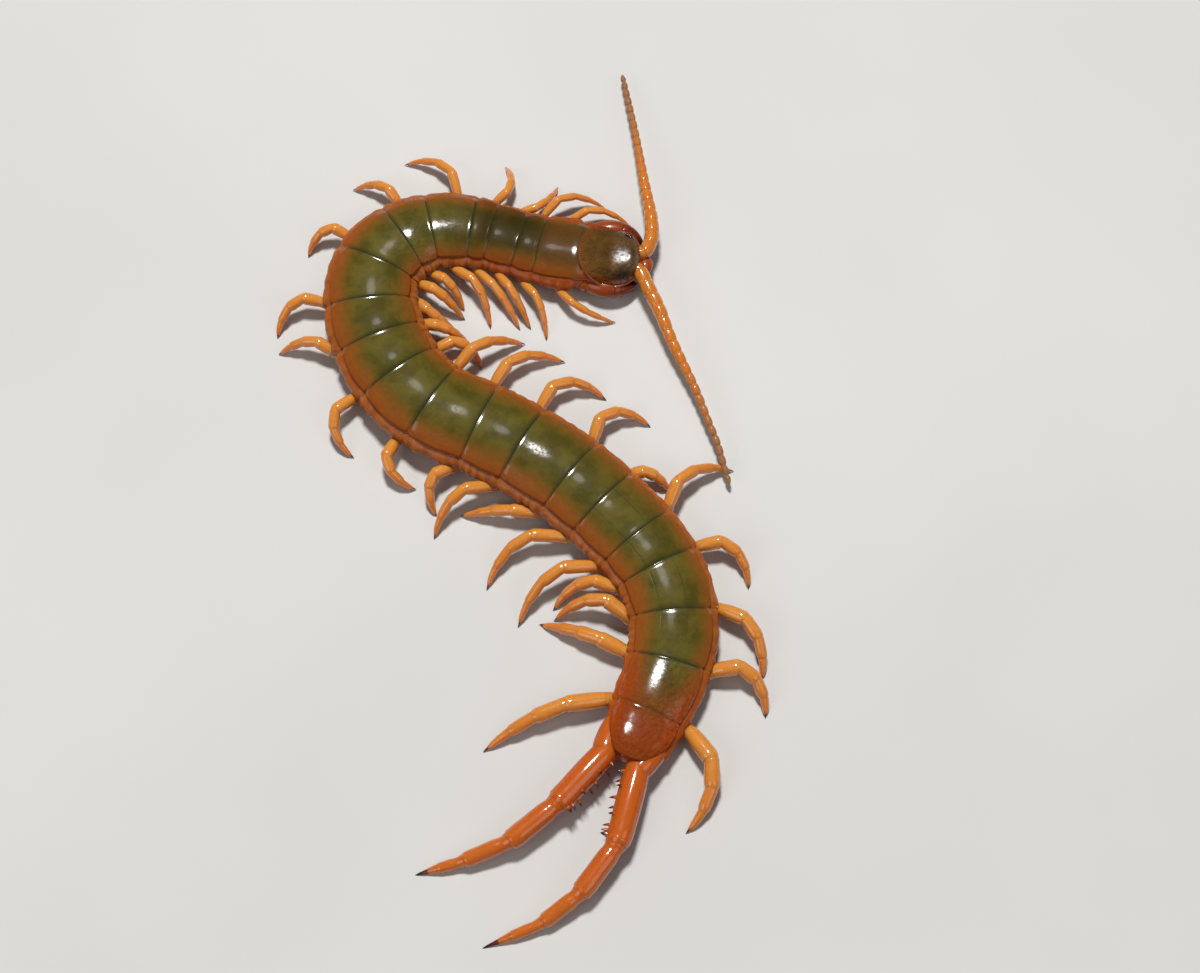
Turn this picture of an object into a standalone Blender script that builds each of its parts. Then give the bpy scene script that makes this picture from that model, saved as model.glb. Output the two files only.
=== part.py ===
"""A giant centipede at life size, resting with its trunk in an S, as a still museum model.

Lengths are in millimetres and angles in degrees until MM turns them into Blender's metres.
The floor is z = 0. A bearing is an angle in plan, anticlockwise from +X, and the trunk's
bearings point from head to tail. A station is a distance along the trunk's midline, from the
front edge of the head plate. "Out" is away from the midline, "fore" is towards the head.
"""

import math

import bmesh
import bpy
import numpy as np

MM = 0.001
GAP = 0.3

# Trunk: one row for each of the 21 leg-bearing segments, as (length, bearing at its middle).
START = (11.43, 22.36)
HEAD_LENGTH = 5.8
HEAD_BEARING = 172
SEGMENTS = (
    (3.8, 172), (1.9, 163), (2.8, 162), (1.8, 167), (3.9, 178), (2.9, 202), (3.5, 226),
    (4.1, 264), (3.7, 286), (3.9, 297), (4.3, 314), (4.9, 338), (4.4, 332), (5.4, 327),
    (3.9, 318), (4.5, 315), (3.4, 306), (4.6, 288), (4.6, 264), (5.1, 249), (3.9, 254),
)
SEGMENTS_IN_NODE = 3
WIDTH_KNOTS = (
    (0.5, 6.2), (3, 6.1), (5, 6.8), (7, 7.7), (9, 8.2), (14, 8.2), (17, 7.8), (20, 7.0), (21, 6.4),
)
HEIGHT_TO_WIDTH = 0.56
BELLY_HEIGHT = 0.5

# A back plate along its segment, as (share of the length, size): its rear lip stands over the
# front of the next plate.
PLATE_PROFILE = ((0.0, 0.93), (0.15, 0.985), (0.55, 1.0), (0.92, 0.99), (1.0, 0.972))
TAIL_PROFILE = ((0.0, 0.93), (0.15, 0.985), (0.5, 0.985), (0.8, 0.91), (1.0, 0.76))
LIP_STEP = 0.12
DORSAL_POINTS = 13
DORSAL_ROUNDNESS = 0.85
PLATE_EDGE_HEIGHT = 0.5
# The soft flank under the plate's edge, as (share of the half width, share of the height), and
# the flat belly plate's share of the half width.
FLANK = ((0.91, 0.44), (0.87, 0.27), (0.76, 0.11))
STERNITE_HALF = 0.6
BELLY_SAG = 1.6

# Head
HEAD_WIDTH = 6.0
HEAD_TOP = 3.95
HEAD_EDGE = 2.8
HEAD_UNDER = 1.95
HEAD_SIDES = 20
HEAD_SHARES = (0.015, 0.06, 0.13, 0.24, 0.38, 0.55, 0.72, 0.88, 1.0)
HEAD_WIDEST = 0.6
HEAD_REAR_NARROWING = 0.16

# The plate under the head that carries the forcipules, as (fore of the head's rear edge, half
# width). A forcipule leaves each slanting wall, between the rows in FANG_WALL, at mid height.
FANG_BASE = ((0.15, 2.3), (0.9, 2.45), (1.7, 1.0), (2.5, 0.88), (2.75, 0.6))
FANG_WALL = (1, 2)
FANG_BASE_HEIGHTS = (0.35, 1.62)
FANG_BASE_SIDES = 12
FANG_BASE_SQUARENESS = 0.6

# Forcipules beyond their roots, as (fore of the head's rear edge, out, height, radius)
FORCIPULE = (
    (2.2, 2.45, 1.0, 0.8), (3.3, 2.85, 0.98, 0.74), (4.3, 2.55, 0.95, 0.62), (5.1, 1.95, 0.9, 0.48),
    (5.7, 1.25, 0.86, 0.34), (6.0, 0.75, 0.82, 0.2), (6.1, 0.4, 0.8, 0.06),
)
FORCIPULE_ROOT_RADIUS = 0.62
FORCIPULE_SIDES = 8

# Eyes: a pad at a station and a share of the head's half width, with four low lenses on it, each
# as (fore, up) from the pad's middle. The pad's half sizes run fore, up and outwards.
EYE_STATION = 1.5
EYE_ACROSS = 0.82
EYE_PAD = (0.46, 0.36, 0.16)
EYE_GAP = 0.2
OCELLUS_RADIUS = 0.17
OCELLI = ((0.2, 0.12), (-0.14, 0.15), (0.14, -0.15), (-0.2, -0.1))

# Antennae, by side, with bearings at shares of the length.
ANTENNA_LENGTH = {"left": 19.7, "right": 22.0}
ANTENNA_BEARINGS = {
    "left": ((0.0, 62), (0.06, 76), (0.15, 93), (0.3, 99), (0.45, 104), (1.0, 103)),
    "right": ((0.0, -66), (0.1, -68), (0.25, -64), (0.4, -65), (0.6, -70), (1.0, -70)),
}
ANTENNA_ARTICLES = 20
ANTENNA_SIDES = 6
ANTENNA_RADIUS = (0.68, 0.24)
ANTENNA_WAIST = 0.86
ANTENNA_HEIGHTS = (2.6, 1.1)
ANTENNA_OFFSET = 1.1
ANTENNA_STANDOFF = 0.45

# Walking legs, by side from the first segment back, as (sweep of the chord towards the head, reach
# from root to claw tip, curl of the whole leg in plan, lift of the knee). A curled leg sets out
# further forward than its chord and ends further back.
LEG_POSES = {
    "left": (
        (75, 5.6, -90, 1.4), (60, 6.4, -80, 1.9), (30, 4.8, 60, 0.8), (0, 4.6, 90, 1.4),
        (-55, 6.6, 90, 1.4), (-40, 5.0, 70, 1.4), (-55, 4.2, 110, 1.4), (-30, 5.4, 100, 1.4),
        (25, 5.4, 60, 1.4), (-55, 5.4, 120, 1.4), (-60, 4.6, 120, 1.4), (-5, 4.4, 110, 1.4),
        (20, 7.0, 70, 2.0), (55, 7.0, 10, 1.0), (15, 8.6, 80, 1.4), (5, 9.0, 70, 2.2),
        (15, 6.0, 80, 1.4), (10, 6.8, 80, 2.2), (8, 8.6, 10, 1.2), (-40, 12.4, 30, 1.4),
    ),
    "right": (
        (70, 6.2, -50, 1.4), (40, 6.0, 40, 1.4), (50, 6.0, 10, 2.0), (50, 7.0, 20, 1.2),
        (35, 6.6, 50, 1.8), (20, 4.4, 40, 1.4), (2, 5.2, 10, 2.2), (-35, 4.4, -20, 0.8),
        (-35, 4.4, 10, 1.4), (-50, 4.4, 110, 0.8), (-25, 7.2, 50, 2.4), (-40, 7.4, 80, 1.4),
        (-45, 6.4, 110, 1.4), (-30, 5.8, 120, 1.4), (-65, 4.0, 60, 1.2), (-5, 7.6, 80, 1.9),
        (-65, 6.0, 110, 1.4), (-65, 7.6, 80, 1.4), (-25, 6.2, 110, 1.4), (-70, 9.2, 90, 1.4),
    ),
}
# The share of its segment at which a leg leaves the flank, by segment.
LEG_STATION_KNOTS = ((1, 0.45), (5, 0.45), (6, 0.6), (8, 0.85), (20, 0.95))
LEG_SIDES = 6
LEG_TIP_HEIGHT = 0.03
COXA_LENGTH = 0.45
COXA_SIZE = 0.8
# A leg's thickness beyond its coxa, as (share of the length, share of the leg's radius): prefemur,
# femur, tibia, tarsus and claw, each waisted at its joints.
LEG_SHAPE = (
    (0.0, 0.78), (0.17, 1.0), (0.34, 0.80), (0.45, 0.90), (0.58, 0.70),
    (0.68, 0.72), (0.78, 0.52), (0.90, 0.42), (0.955, 0.24), (1.0, 0.10),
)
LEG_RADIUS_KNOTS = ((1, 0.45), (4, 0.52), (8, 0.68), (17, 0.74), (20, 0.88))

# Last pair of legs, as article (length, bearing), by side.
LAST_LEG_ARTICLES = {
    "left": ((8.2, 218), (5.7, 221), (4.3, 198), (4.2, 194)),
    "right": ((7.2, 251), (6.4, 236), (4.3, 215), (5.5, 203)),
}
LAST_LEG_OFFSET = 1.3
LAST_LEG_SIDES = 10
LAST_LEG_RADIUS = 1.25
LAST_LEG_HEIGHT = 2.4
LAST_LEG_LIFT = 1.0
# Its thickness, as (share of the length, share of the radius), waisted at each joint.
LAST_LEG_SHAPE = (
    (0.0, 0.80), (0.06, 0.92), (0.2, 1.0), (0.3, 0.94), (0.335, 0.72), (0.37, 0.84),
    (0.5, 0.84), (0.585, 0.68), (0.60, 0.58), (0.64, 0.68), (0.74, 0.62), (0.785, 0.48),
    (0.80, 0.44), (0.84, 0.48), (0.93, 0.32), (0.955, 0.2), (1.0, 0.06),
)

# Spines on the inner side of the last legs' thick first article, as (share of the leg, turn up
# from straight inwards)
LAST_LEG_SPINES = ((0.1, -35), (0.14, 25), (0.2, -15), (0.26, 20), (0.3, -30))
SPINE_LENGTH = 0.6
SPINE_RADIUS = 0.2
SPINE_SIDES = 5

# Colour and roughness of each kind of cuticle
FINISHES = {
    "tergite": ((0.09, 0.115, 0.02), 0.25),
    "head": ((0.075, 0.06, 0.015), 0.2),
    "leg": ((0.62, 0.24, 0.03), 0.35),
    "last_leg": ((0.55, 0.13, 0.015), 0.25),
    "forcipule": ((0.33, 0.06, 0.01), 0.2),
    "eye": ((0.01, 0.01, 0.01), 0.1),
}


def clear_scene():
    for obj in list(bpy.data.objects):
        bpy.data.objects.remove(obj, do_unlink=True)


def material_for(name, finish):
    """A piece's own Principled material."""
    made = bpy.data.materials.new(name)
    made.use_nodes = True
    shader = made.node_tree.nodes["Principled BSDF"]
    colour, roughness = FINISHES[finish]
    shader.inputs["Base Color"].default_value = (*colour, 1.0)
    shader.inputs["Roughness"].default_value = roughness
    shader.inputs["Metallic"].default_value = 0.0
    return made


def knots(table, at):
    """A value read off a table of (place, value) rows."""
    places, values = zip(*table)
    return float(np.interp(at, places, values))


def direction(bearing):
    return np.array([math.cos(math.radians(bearing)), math.sin(math.radians(bearing)), 0.0])


# The trunk's midline in plan
STARTS = HEAD_LENGTH + np.concatenate([[0.0], np.cumsum([length for length, _ in SEGMENTS])])
TRUNK_END = float(STARTS[-1])
MIDDLES = [HEAD_LENGTH / 2, *((STARTS[:-1] + STARTS[1:]) / 2)]
BEARINGS = [HEAD_BEARING, *(bearing for _, bearing in SEGMENTS)]
STEP = 0.05
PLAN_STEPS = 400


def bearing_at(station):
    return float(np.interp(station, MIDDLES, BEARINGS))


def walk(bearings, step, start):
    """Points in plan reached by walking one step along each bearing."""
    turned = np.radians(np.asarray(bearings, float))
    moves = step * np.stack([np.cos(turned), np.sin(turned)], 1)
    return np.vstack([start, np.asarray(start) + np.cumsum(moves, 0)])


MIDLINE_STATIONS = np.arange(0.0, TRUNK_END + 2, STEP)
MIDLINE = walk(np.interp(MIDLINE_STATIONS + STEP / 2, MIDDLES, BEARINGS), STEP, START)[:-1]


def midline_at(station):
    """The point of the midline on the floor, and the directions out to the animal's left and fore."""
    x = np.interp(station, MIDLINE_STATIONS, MIDLINE[:, 0])
    y = np.interp(station, MIDLINE_STATIONS, MIDLINE[:, 1])
    bearing = bearing_at(station)
    return np.array([x, y, 0.0]), direction(bearing - 90), direction(bearing + 180)


def segment_place(number, share):
    """The station at a share of a segment's length, segments counted from 1."""
    return float(STARTS[number - 1] + share * SEGMENTS[number - 1][0])


def half_width_at(station):
    """Half the trunk's width, read by segment number with shares between."""
    number = float(np.interp(station, STARTS, np.arange(len(STARTS)) + 0.5))
    return knots(WIDTH_KNOTS, number) / 2


def trunk_outline(half_width, size):
    """The trunk's section as (out to the left, height) points, anticlockwise seen from the tail."""
    height = 2 * half_width * HEIGHT_TO_WIDTH
    edge = PLATE_EDGE_HEIGHT * height
    points = []
    for turn in np.linspace(-90, 90, DORSAL_POINTS):
        sine, cosine = math.sin(math.radians(turn)), max(math.cos(math.radians(turn)), 0.0)
        points.append((sine * half_width, edge + (height - edge) * cosine**DORSAL_ROUNDNESS))
    flank = [(across * half_width, rise * height) for across, rise in FLANK]
    belly = [(share * STERNITE_HALF * half_width, 0.0) for share in (1.0, 0.5, 0.0, -0.5, -1.0)]
    points += flank + belly + [(-across, rise) for across, rise in reversed(flank)]
    sag = BELLY_HEIGHT + (1 - size) * BELLY_SAG
    return [(across * size, sag + rise * size) for across, rise in points]


def trunk_ring(station, size):
    centre, left, _ = midline_at(station)
    outline = trunk_outline(half_width_at(station), size)
    return np.array([centre + left * across + np.array([0, 0, rise]) for across, rise in outline])


def mesh_object(name, points, faces, finish):
    """One named object from points in millimetres, its origin at its first point's ring and its
    faces turned outwards."""
    points = np.asarray(points)
    origin = points[0]
    mesh = bpy.data.meshes.new(name)
    mesh.from_pydata((MM * (points - origin)).tolist(), [], faces)
    shape = bmesh.new()
    shape.from_mesh(mesh)
    bmesh.ops.recalc_face_normals(shape, faces=shape.faces)
    shape.to_mesh(mesh)
    shape.free()
    mesh.shade_smooth()
    mesh.set_sharp_from_angle(angle=math.radians(40))
    mesh.materials.append(material_for(name, finish))
    obj = bpy.data.objects.new(name, mesh)
    obj.location = (MM * origin).tolist()
    bpy.context.scene.collection.objects.link(obj)
    return obj


def loft(name, rings, finish):
    """A closed body through rings of equally many points, each end closed by a fan."""
    count = len(rings[0])
    points = np.vstack(rings)
    faces = []
    for row in range(len(rings) - 1):
        for i in range(count):
            a, b = row * count + i, row * count + (i + 1) % count
            faces += [(a, b, b + count), (a, b + count, a + count)]
    for row in (0, len(rings) - 1):
        middle = len(points)
        points = np.vstack([points, rings[row].mean(0)])
        first = row * count
        faces += [(middle, first + i, first + (i + 1) % count) for i in range(count)]
    return mesh_object(name, points, faces, finish)


def tube_rings(path, radii, sides, first_normal=None):
    """Rings square to a path, apart from the first where its normal is given.
    No point reaches under the floor, which leaves a small flat where a tip rests."""
    path = np.asarray(path, float)
    along = np.gradient(path, axis=0)
    if first_normal is not None:
        along[0] = first_normal
    rings = []
    for point, way, radius in zip(path, along, radii):
        way = way / np.linalg.norm(way)
        aside = np.cross(way, [0, 0, 1.0])
        aside = aside / np.linalg.norm(aside)
        upward = np.cross(aside, way)
        turns = np.radians(np.arange(sides) * 360 / sides + 180 / sides)
        ring = [point + radius * (math.cos(t) * aside + math.sin(t) * upward) for t in turns]
        ring = np.array(ring)
        ring[:, 2] = np.maximum(ring[:, 2], 0.0)
        rings.append(ring)
    return rings


def fuse(obj, pieces):
    """Joins closed pieces to an object by one Boolean union, applied, and removes the pieces."""
    group = bpy.data.collections.new(obj.name + "_pieces")
    bpy.context.scene.collection.children.link(group)
    for piece in pieces:
        bpy.context.scene.collection.objects.unlink(piece)
        group.objects.link(piece)
    union = obj.modifiers.new("union", "BOOLEAN")
    union.operation = "UNION"
    union.operand_type = "COLLECTION"
    union.collection = group
    union.solver = "EXACT"
    bpy.context.view_layer.update()
    graph = bpy.context.evaluated_depsgraph_get()
    joined = bpy.data.meshes.new_from_object(obj.evaluated_get(graph))
    obj.modifiers.clear()
    obj.data = joined
    for piece in pieces:
        bpy.data.objects.remove(piece, do_unlink=True)
    bpy.data.collections.remove(group)


def spine(base, tip, finish):
    """A small cone from its sunk root to its tip."""
    radii = [SPINE_RADIUS, 0.55 * SPINE_RADIUS, 0.1 * SPINE_RADIUS]
    rings = tube_rings([base, base + 0.6 * (tip - base), tip], radii, SPINE_SIDES)
    return loft("spine", rings, finish)


def ball(name, middle, axes, sizes, around, levels):
    """An ellipsoid about a point, with its own three axes and a pole at each end of the third."""
    rings = []
    for tilt in np.radians(np.linspace(-90, 90, levels + 1)[1:-1]):
        turns = np.radians(np.arange(around) * 360 / around)
        ring = [
            middle
            + axes[0] * sizes[0] * math.cos(tilt) * math.cos(t)
            + axes[1] * sizes[1] * math.cos(tilt) * math.sin(t)
            + axes[2] * sizes[2] * math.sin(tilt)
            for t in turns
        ]
        rings.append(np.array(ring))
    return loft(name, rings, "eye")


def build_trunk():
    """The trunk in lengths of a few segments, each with its plates' rear lips raised."""
    count = len(SEGMENTS)
    for first in range(1, count + 1, SEGMENTS_IN_NODE):
        last = first + SEGMENTS_IN_NODE - 1
        rings = []
        for number in range(first, last + 1):
            profile = TAIL_PROFILE if number == count else PLATE_PROFILE
            for share, size in profile:
                station = segment_place(number, share)
                if share == 0.0:
                    station += GAP / 2 if number == first else LIP_STEP / 2
                if share == 1.0:
                    station -= GAP / 2 if number == last else LIP_STEP / 2
                rings.append(trunk_ring(station, size))
        loft(f"trunk_{(first - 1) // SEGMENTS_IN_NODE + 1}", rings, "tergite")


def head_half_width(share):
    """Half the head's width at a share of its length: a round front, a slightly narrower rear."""
    if share < HEAD_WIDEST:
        return HEAD_WIDTH / 2 * (1 - (1 - share / HEAD_WIDEST) ** 2.3) ** 0.48
    behind = (share - HEAD_WIDEST) / (1 - HEAD_WIDEST)
    return HEAD_WIDTH / 2 * (1 - HEAD_REAR_NARROWING * behind**2)


def head_ring(share):
    """A section of the head: a low dome above the plate's edge and a narrower capsule under it."""
    centre, left, _ = midline_at(share * (HEAD_LENGTH - GAP / 2))
    half = head_half_width(share)
    fullness = min(1.0, half / (0.75 * HEAD_WIDTH / 2))
    top = HEAD_EDGE + (HEAD_TOP - HEAD_EDGE) * fullness
    under = HEAD_EDGE - (HEAD_EDGE - HEAD_UNDER) * fullness
    ring = []
    for turn in np.radians(np.arange(HEAD_SIDES) * 360 / HEAD_SIDES):
        across, rise = half * math.cos(turn), math.sin(turn)
        if rise >= 0:
            height = HEAD_EDGE + (top - HEAD_EDGE) * rise
        else:
            height = HEAD_EDGE + (HEAD_EDGE - under) * rise
            across *= 1 - 0.25 * min(1.0, -2 * rise)
        ring.append(centre + left * across + np.array([0, 0, height]))
    return np.array(ring)


def build_head():
    loft("head", [head_ring(share) for share in HEAD_SHARES], "head")


def side_sign(side):
    return 1.0 if side == "left" else -1.0


def build_eyes():
    """A pad with four low lenses on each side of the head, standing just off the dome."""
    half = head_half_width(EYE_STATION / HEAD_LENGTH)
    dome = HEAD_TOP - HEAD_EDGE
    rise = math.sqrt(1 - EYE_ACROSS**2)
    for side in ("left", "right"):
        centre, left, fore = midline_at(EYE_STATION)
        out = side_sign(side) * left
        surface = centre + out * EYE_ACROSS * half + np.array([0, 0, HEAD_EDGE + dome * rise])
        normal = out * EYE_ACROSS / half + np.array([0, 0, rise / dome])
        normal = normal / np.linalg.norm(normal)
        upward = np.cross(normal, fore)
        upward = upward * math.copysign(1.0, upward[2])
        middle = surface + normal * (EYE_GAP + EYE_PAD[2])
        pad = ball(f"eye_{side}", middle, (fore, upward, normal), EYE_PAD, 12, 6)
        lenses = []
        for along, up in OCELLI:
            spot = middle + fore * along + upward * up + normal * 0.35 * EYE_PAD[2]
            lenses.append(ball("ocellus", spot, (fore, upward, normal), [OCELLUS_RADIUS] * 3, 8, 5))
        fuse(pad, lenses)


def build_fang_base():
    """A flat rounded plate under the head, broad behind and narrow between the forcipules."""
    centre, left, fore = midline_at(HEAD_LENGTH)
    low, high = FANG_BASE_HEIGHTS
    middle, half_height = (low + high) / 2, (high - low) / 2
    rings = []
    for along, half_width in FANG_BASE:
        ring = []
        for turn in np.radians(np.arange(FANG_BASE_SIDES) * 360 / FANG_BASE_SIDES):
            across = math.copysign(abs(math.cos(turn)) ** FANG_BASE_SQUARENESS, math.cos(turn))
            rise = math.copysign(abs(math.sin(turn)) ** FANG_BASE_SQUARENESS, math.sin(turn))
            spot = centre + fore * along + left * half_width * across
            ring.append(spot + np.array([0, 0, middle + half_height * rise]))
        rings.append(np.array(ring))
    loft("fang_base", rings, "forcipule")


def forcipule_root():
    """The root's middle, off the base's slanting wall, and the wall's normal, as (fore, out)."""
    behind, ahead = (np.array(FANG_BASE[row]) for row in FANG_WALL)
    wall = (ahead - behind) / np.linalg.norm(ahead - behind)
    normal = np.array([-wall[1], wall[0]])
    return (behind + ahead) / 2 + normal * GAP, normal


def build_forcipules():
    """Thick curved fangs that leave the plate under the head and hook in to the head's front."""
    (along, across), normal = forcipule_root()
    height = sum(FANG_BASE_HEIGHTS) / 2
    rows = ((along, across, height, FORCIPULE_ROOT_RADIUS), *FORCIPULE)
    for side in ("left", "right"):
        centre, left, fore = midline_at(HEAD_LENGTH)
        out = side_sign(side) * left
        path = [centre + fore * a + out * b + np.array([0, 0, z]) for a, b, z, _ in rows]
        radii = [radius for *_, radius in rows]
        first_normal = fore * normal[0] + out * normal[1]
        rings = tube_rings(path, radii, FORCIPULE_SIDES, first_normal=first_normal)
        loft(f"forcipule_{side}", rings, "forcipule")


def curved_plan(start, length, bearing_knots, shares):
    """Points in plan at shares of a line that sets out from start and turns as it goes."""
    steps = np.linspace(0, 1, PLAN_STEPS + 1)
    bearings = [knots(bearing_knots, share) for share in steps[:-1]]
    plan = walk(bearings, length / PLAN_STEPS, start[:2])
    return np.interp(shares, steps, plan[:, 0]), np.interp(shares, steps, plan[:, 1])


def build_antennae():
    """Beaded feelers: each article swells from a waist, and they taper to the tip."""
    shares = np.linspace(0, 1, 2 * ANTENNA_ARTICLES + 1)
    thick, thin = ANTENNA_RADIUS
    high, low = ANTENNA_HEIGHTS
    beads = np.where(np.arange(len(shares)) % 2 == 0, ANTENNA_WAIST, 1.0)
    radii = (thin + (thick - thin) * (1 - shares)) * beads
    z = low + (high - low) * (1 - shares)
    for side in ("left", "right"):
        centre, left, fore = midline_at(0.0)
        start = centre + side_sign(side) * left * ANTENNA_OFFSET + fore * ANTENNA_STANDOFF
        x, y = curved_plan(start, ANTENNA_LENGTH[side], ANTENNA_BEARINGS[side], shares)
        rings = tube_rings(np.stack([x, y, z], 1), radii, ANTENNA_SIDES)
        loft(f"antenna_{side}", rings, "leg")


def leg_root(number, side):
    """Where a leg meets the flank, with the way out of the flank there."""
    station = segment_place(number, knots(LEG_STATION_KNOTS, number))
    centre, left, fore = midline_at(station)
    out = side_sign(side) * left
    half = half_width_at(station)
    height = 2 * half * HEIGHT_TO_WIDTH
    (wide, high), (middle, level), (narrow, low) = FLANK
    slope = np.array([(wide - narrow) * half, (high - low) * height])
    lean = slope[0] / np.linalg.norm(slope)
    upright = slope[1] / np.linalg.norm(slope)
    normal = out * upright - np.array([0, 0, lean])
    surface = centre + out * middle * half + np.array([0, 0, BELLY_HEIGHT + level * height])
    return surface + normal * GAP, normal, out, fore


def leg_path(root, normal, out, fore, pose, shares):
    """The root, then an arc in plan from the coxa's end to the claw tip, raised at the knee."""
    sweep, reach, curl, lift = pose
    turn = math.radians(curl)
    length = reach * (turn / 2) / math.sin(turn / 2)
    shares = np.asarray(shares, float)
    first = math.radians(sweep) + turn / 2
    heading = first - turn * shares
    to_out = length / turn * (np.sin(first) - np.sin(heading))
    to_fore = length / turn * (np.cos(heading) - np.cos(first))
    coxa = root + COXA_LENGTH * normal
    plan = coxa + np.outer(to_out, out) + np.outer(to_fore, fore)
    z = (1 - shares) * coxa[2] + shares * LEG_TIP_HEIGHT + lift * np.sin(math.pi * shares**0.75)
    return np.vstack([root, np.column_stack([plan[:, :2], z])])


def build_legs():
    shares = [share for share, _ in LEG_SHAPE]
    sizes = [COXA_SIZE, *(size for _, size in LEG_SHAPE)]
    for side in ("left", "right"):
        for number, pose in enumerate(LEG_POSES[side], 1):
            root, normal, out, fore = leg_root(number, side)
            radius = knots(LEG_RADIUS_KNOTS, number)
            path = leg_path(root, normal, out, fore, pose, shares)
            radii = [radius * size for size in sizes]
            rings = tube_rings(path, radii, LEG_SIDES, first_normal=normal)
            loft(f"leg_{side}_{number:02d}", rings, "leg")


def last_leg_path(side, shares):
    """The last leg's centreline: articles at their own bearings, lying back along the floor."""
    lengths, bearings = zip(*LAST_LEG_ARTICLES[side])
    total = sum(lengths)
    ends = np.concatenate([[0], np.cumsum(lengths)])
    middles = (ends[:-1] + ends[1:]) / 2 / total
    centre, left, _ = midline_at(TRUNK_END + GAP / 2)
    start = centre + side_sign(side) * left * LAST_LEG_OFFSET
    shares = np.asarray(shares, float)
    x, y = curved_plan(start, total, list(zip(middles, bearings)), shares)
    z = LAST_LEG_HEIGHT * (1 - shares) + LEG_TIP_HEIGHT * shares
    z = z + LAST_LEG_LIFT * np.sin(math.pi * shares) * (1 - shares)
    return np.stack([x, y, z], 1)


def last_leg_spine(side, share, turn):
    """A spine on the inner side of a last leg, leaning back a little towards the claw."""
    before, place, after = last_leg_path(side, [share - 0.01, share, share + 0.01])
    along = (after - before) / np.linalg.norm(after - before)
    inward = np.cross([0, 0, side_sign(side)], along)
    way = math.cos(math.radians(turn)) * inward
    way[2] += math.sin(math.radians(turn))
    skin = LAST_LEG_RADIUS * knots(LAST_LEG_SHAPE, share)
    base = place + way * (skin - SPINE_LENGTH / 2)
    tip = place + way * (skin + SPINE_LENGTH) + along * SPINE_LENGTH / 3
    return spine(base, tip, "last_leg")


def build_last_legs():
    shares, sizes = zip(*LAST_LEG_SHAPE)
    radii = [LAST_LEG_RADIUS * size for size in sizes]
    _, _, fore = midline_at(TRUNK_END)
    for side in ("left", "right"):
        path = last_leg_path(side, shares)
        rings = tube_rings(path, radii, LAST_LEG_SIDES, first_normal=-fore)
        leg = loft(f"leg_{side}_21", rings, "last_leg")
        fuse(leg, [last_leg_spine(side, share, turn) for share, turn in LAST_LEG_SPINES])


def gather(name):
    """Parents every piece to one empty at the middle of the floor under the animal."""
    pieces = list(bpy.data.objects)
    root = bpy.data.objects.new(name, None)
    bpy.context.scene.collection.objects.link(root)
    for piece in pieces:
        piece.parent = root


def main():
    clear_scene()
    build_trunk()
    build_head()
    build_eyes()
    build_fang_base()
    build_forcipules()
    build_antennae()
    build_legs()
    build_last_legs()
    gather("centipede")


main()
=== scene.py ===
"""A giant centipede at life size, resting with its trunk in an S, as a still museum model.

The file is laid out as a Blender add-on and run as a script. Shapes are worked out in
millimetres, as grids of points, and set in metres. The floor is z = 0. A bearing is an angle in
plan, anticlockwise from +X, and the trunk's bearings point from head to tail. A station is a
distance along the trunk's midline, from the front edge of the head plate. "Out" is away from the
midline and "fore" is towards the head. A mark is a number on each point of a mesh, for its finish.
"""

import math

import bpy
import numpy as np
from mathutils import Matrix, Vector


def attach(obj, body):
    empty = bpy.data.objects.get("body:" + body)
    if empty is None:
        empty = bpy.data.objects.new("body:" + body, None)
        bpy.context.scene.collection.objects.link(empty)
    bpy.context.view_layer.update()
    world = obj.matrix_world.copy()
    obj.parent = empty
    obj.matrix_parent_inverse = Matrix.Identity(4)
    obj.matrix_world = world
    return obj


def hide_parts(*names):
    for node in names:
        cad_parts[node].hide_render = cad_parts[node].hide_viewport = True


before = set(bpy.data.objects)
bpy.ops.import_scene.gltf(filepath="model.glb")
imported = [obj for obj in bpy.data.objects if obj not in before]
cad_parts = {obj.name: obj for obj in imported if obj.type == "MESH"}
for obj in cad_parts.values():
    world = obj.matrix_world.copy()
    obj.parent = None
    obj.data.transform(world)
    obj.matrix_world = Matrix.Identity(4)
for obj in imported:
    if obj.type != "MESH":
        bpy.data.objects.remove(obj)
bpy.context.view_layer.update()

bl_info = {
    "name": "Giant centipede",
    "version": (1, 0, 0),
    "blender": (4, 5, 0),
    "location": "3D View > Sidebar > Centipede",
    "description": "A life-size giant centipede with back plates, jointed legs, fangs and feelers",
    "category": "Add Mesh",
}

MM = 0.001
SIDES = ("left", "right")

# The trunk's plan: the middle of the head's front edge, the head, and one row for each of the 21
# leg-bearing segments, as (length, bearing).
START = (11.43, 22.36)
HEAD_LENGTH = 5.8
HEAD_BEARING = 172
SEGMENTS = (
    (3.8, 172), (1.9, 163), (2.8, 162), (1.8, 167), (3.9, 178), (2.9, 202), (3.5, 226),
    (4.1, 264), (3.7, 286), (3.9, 297), (4.3, 314), (4.9, 338), (4.4, 332), (5.4, 327),
    (3.9, 318), (4.5, 315), (3.4, 306), (4.6, 288), (4.6, 264), (5.1, 246), (3.9, 248),
)
COUNT = len(SEGMENTS)
SEGMENTS_IN_NODE = 3

# The trunk's section: its width by segment number, the share of its height at which the back
# plates' edges lie, the power that rounds the back, and how far the belly sags as a plate shrinks.
WIDTH_KNOTS = (
    (0.5, 6.2), (3, 6.1), (5, 6.8), (7, 7.7), (9, 8.2), (14, 8.2), (17, 7.8), (20, 7.0), (21, 6.4),
)
PLATE_EDGE_HEIGHT = 0.5
DORSAL_ROUNDNESS = 0.85
BELLY_SAG = 1.6
# The flank beside the belly, as (share of the half width, share of the height), downwards.
FLANK = ((0.91, 0.44), (0.87, 0.27), (0.76, 0.11))

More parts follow.
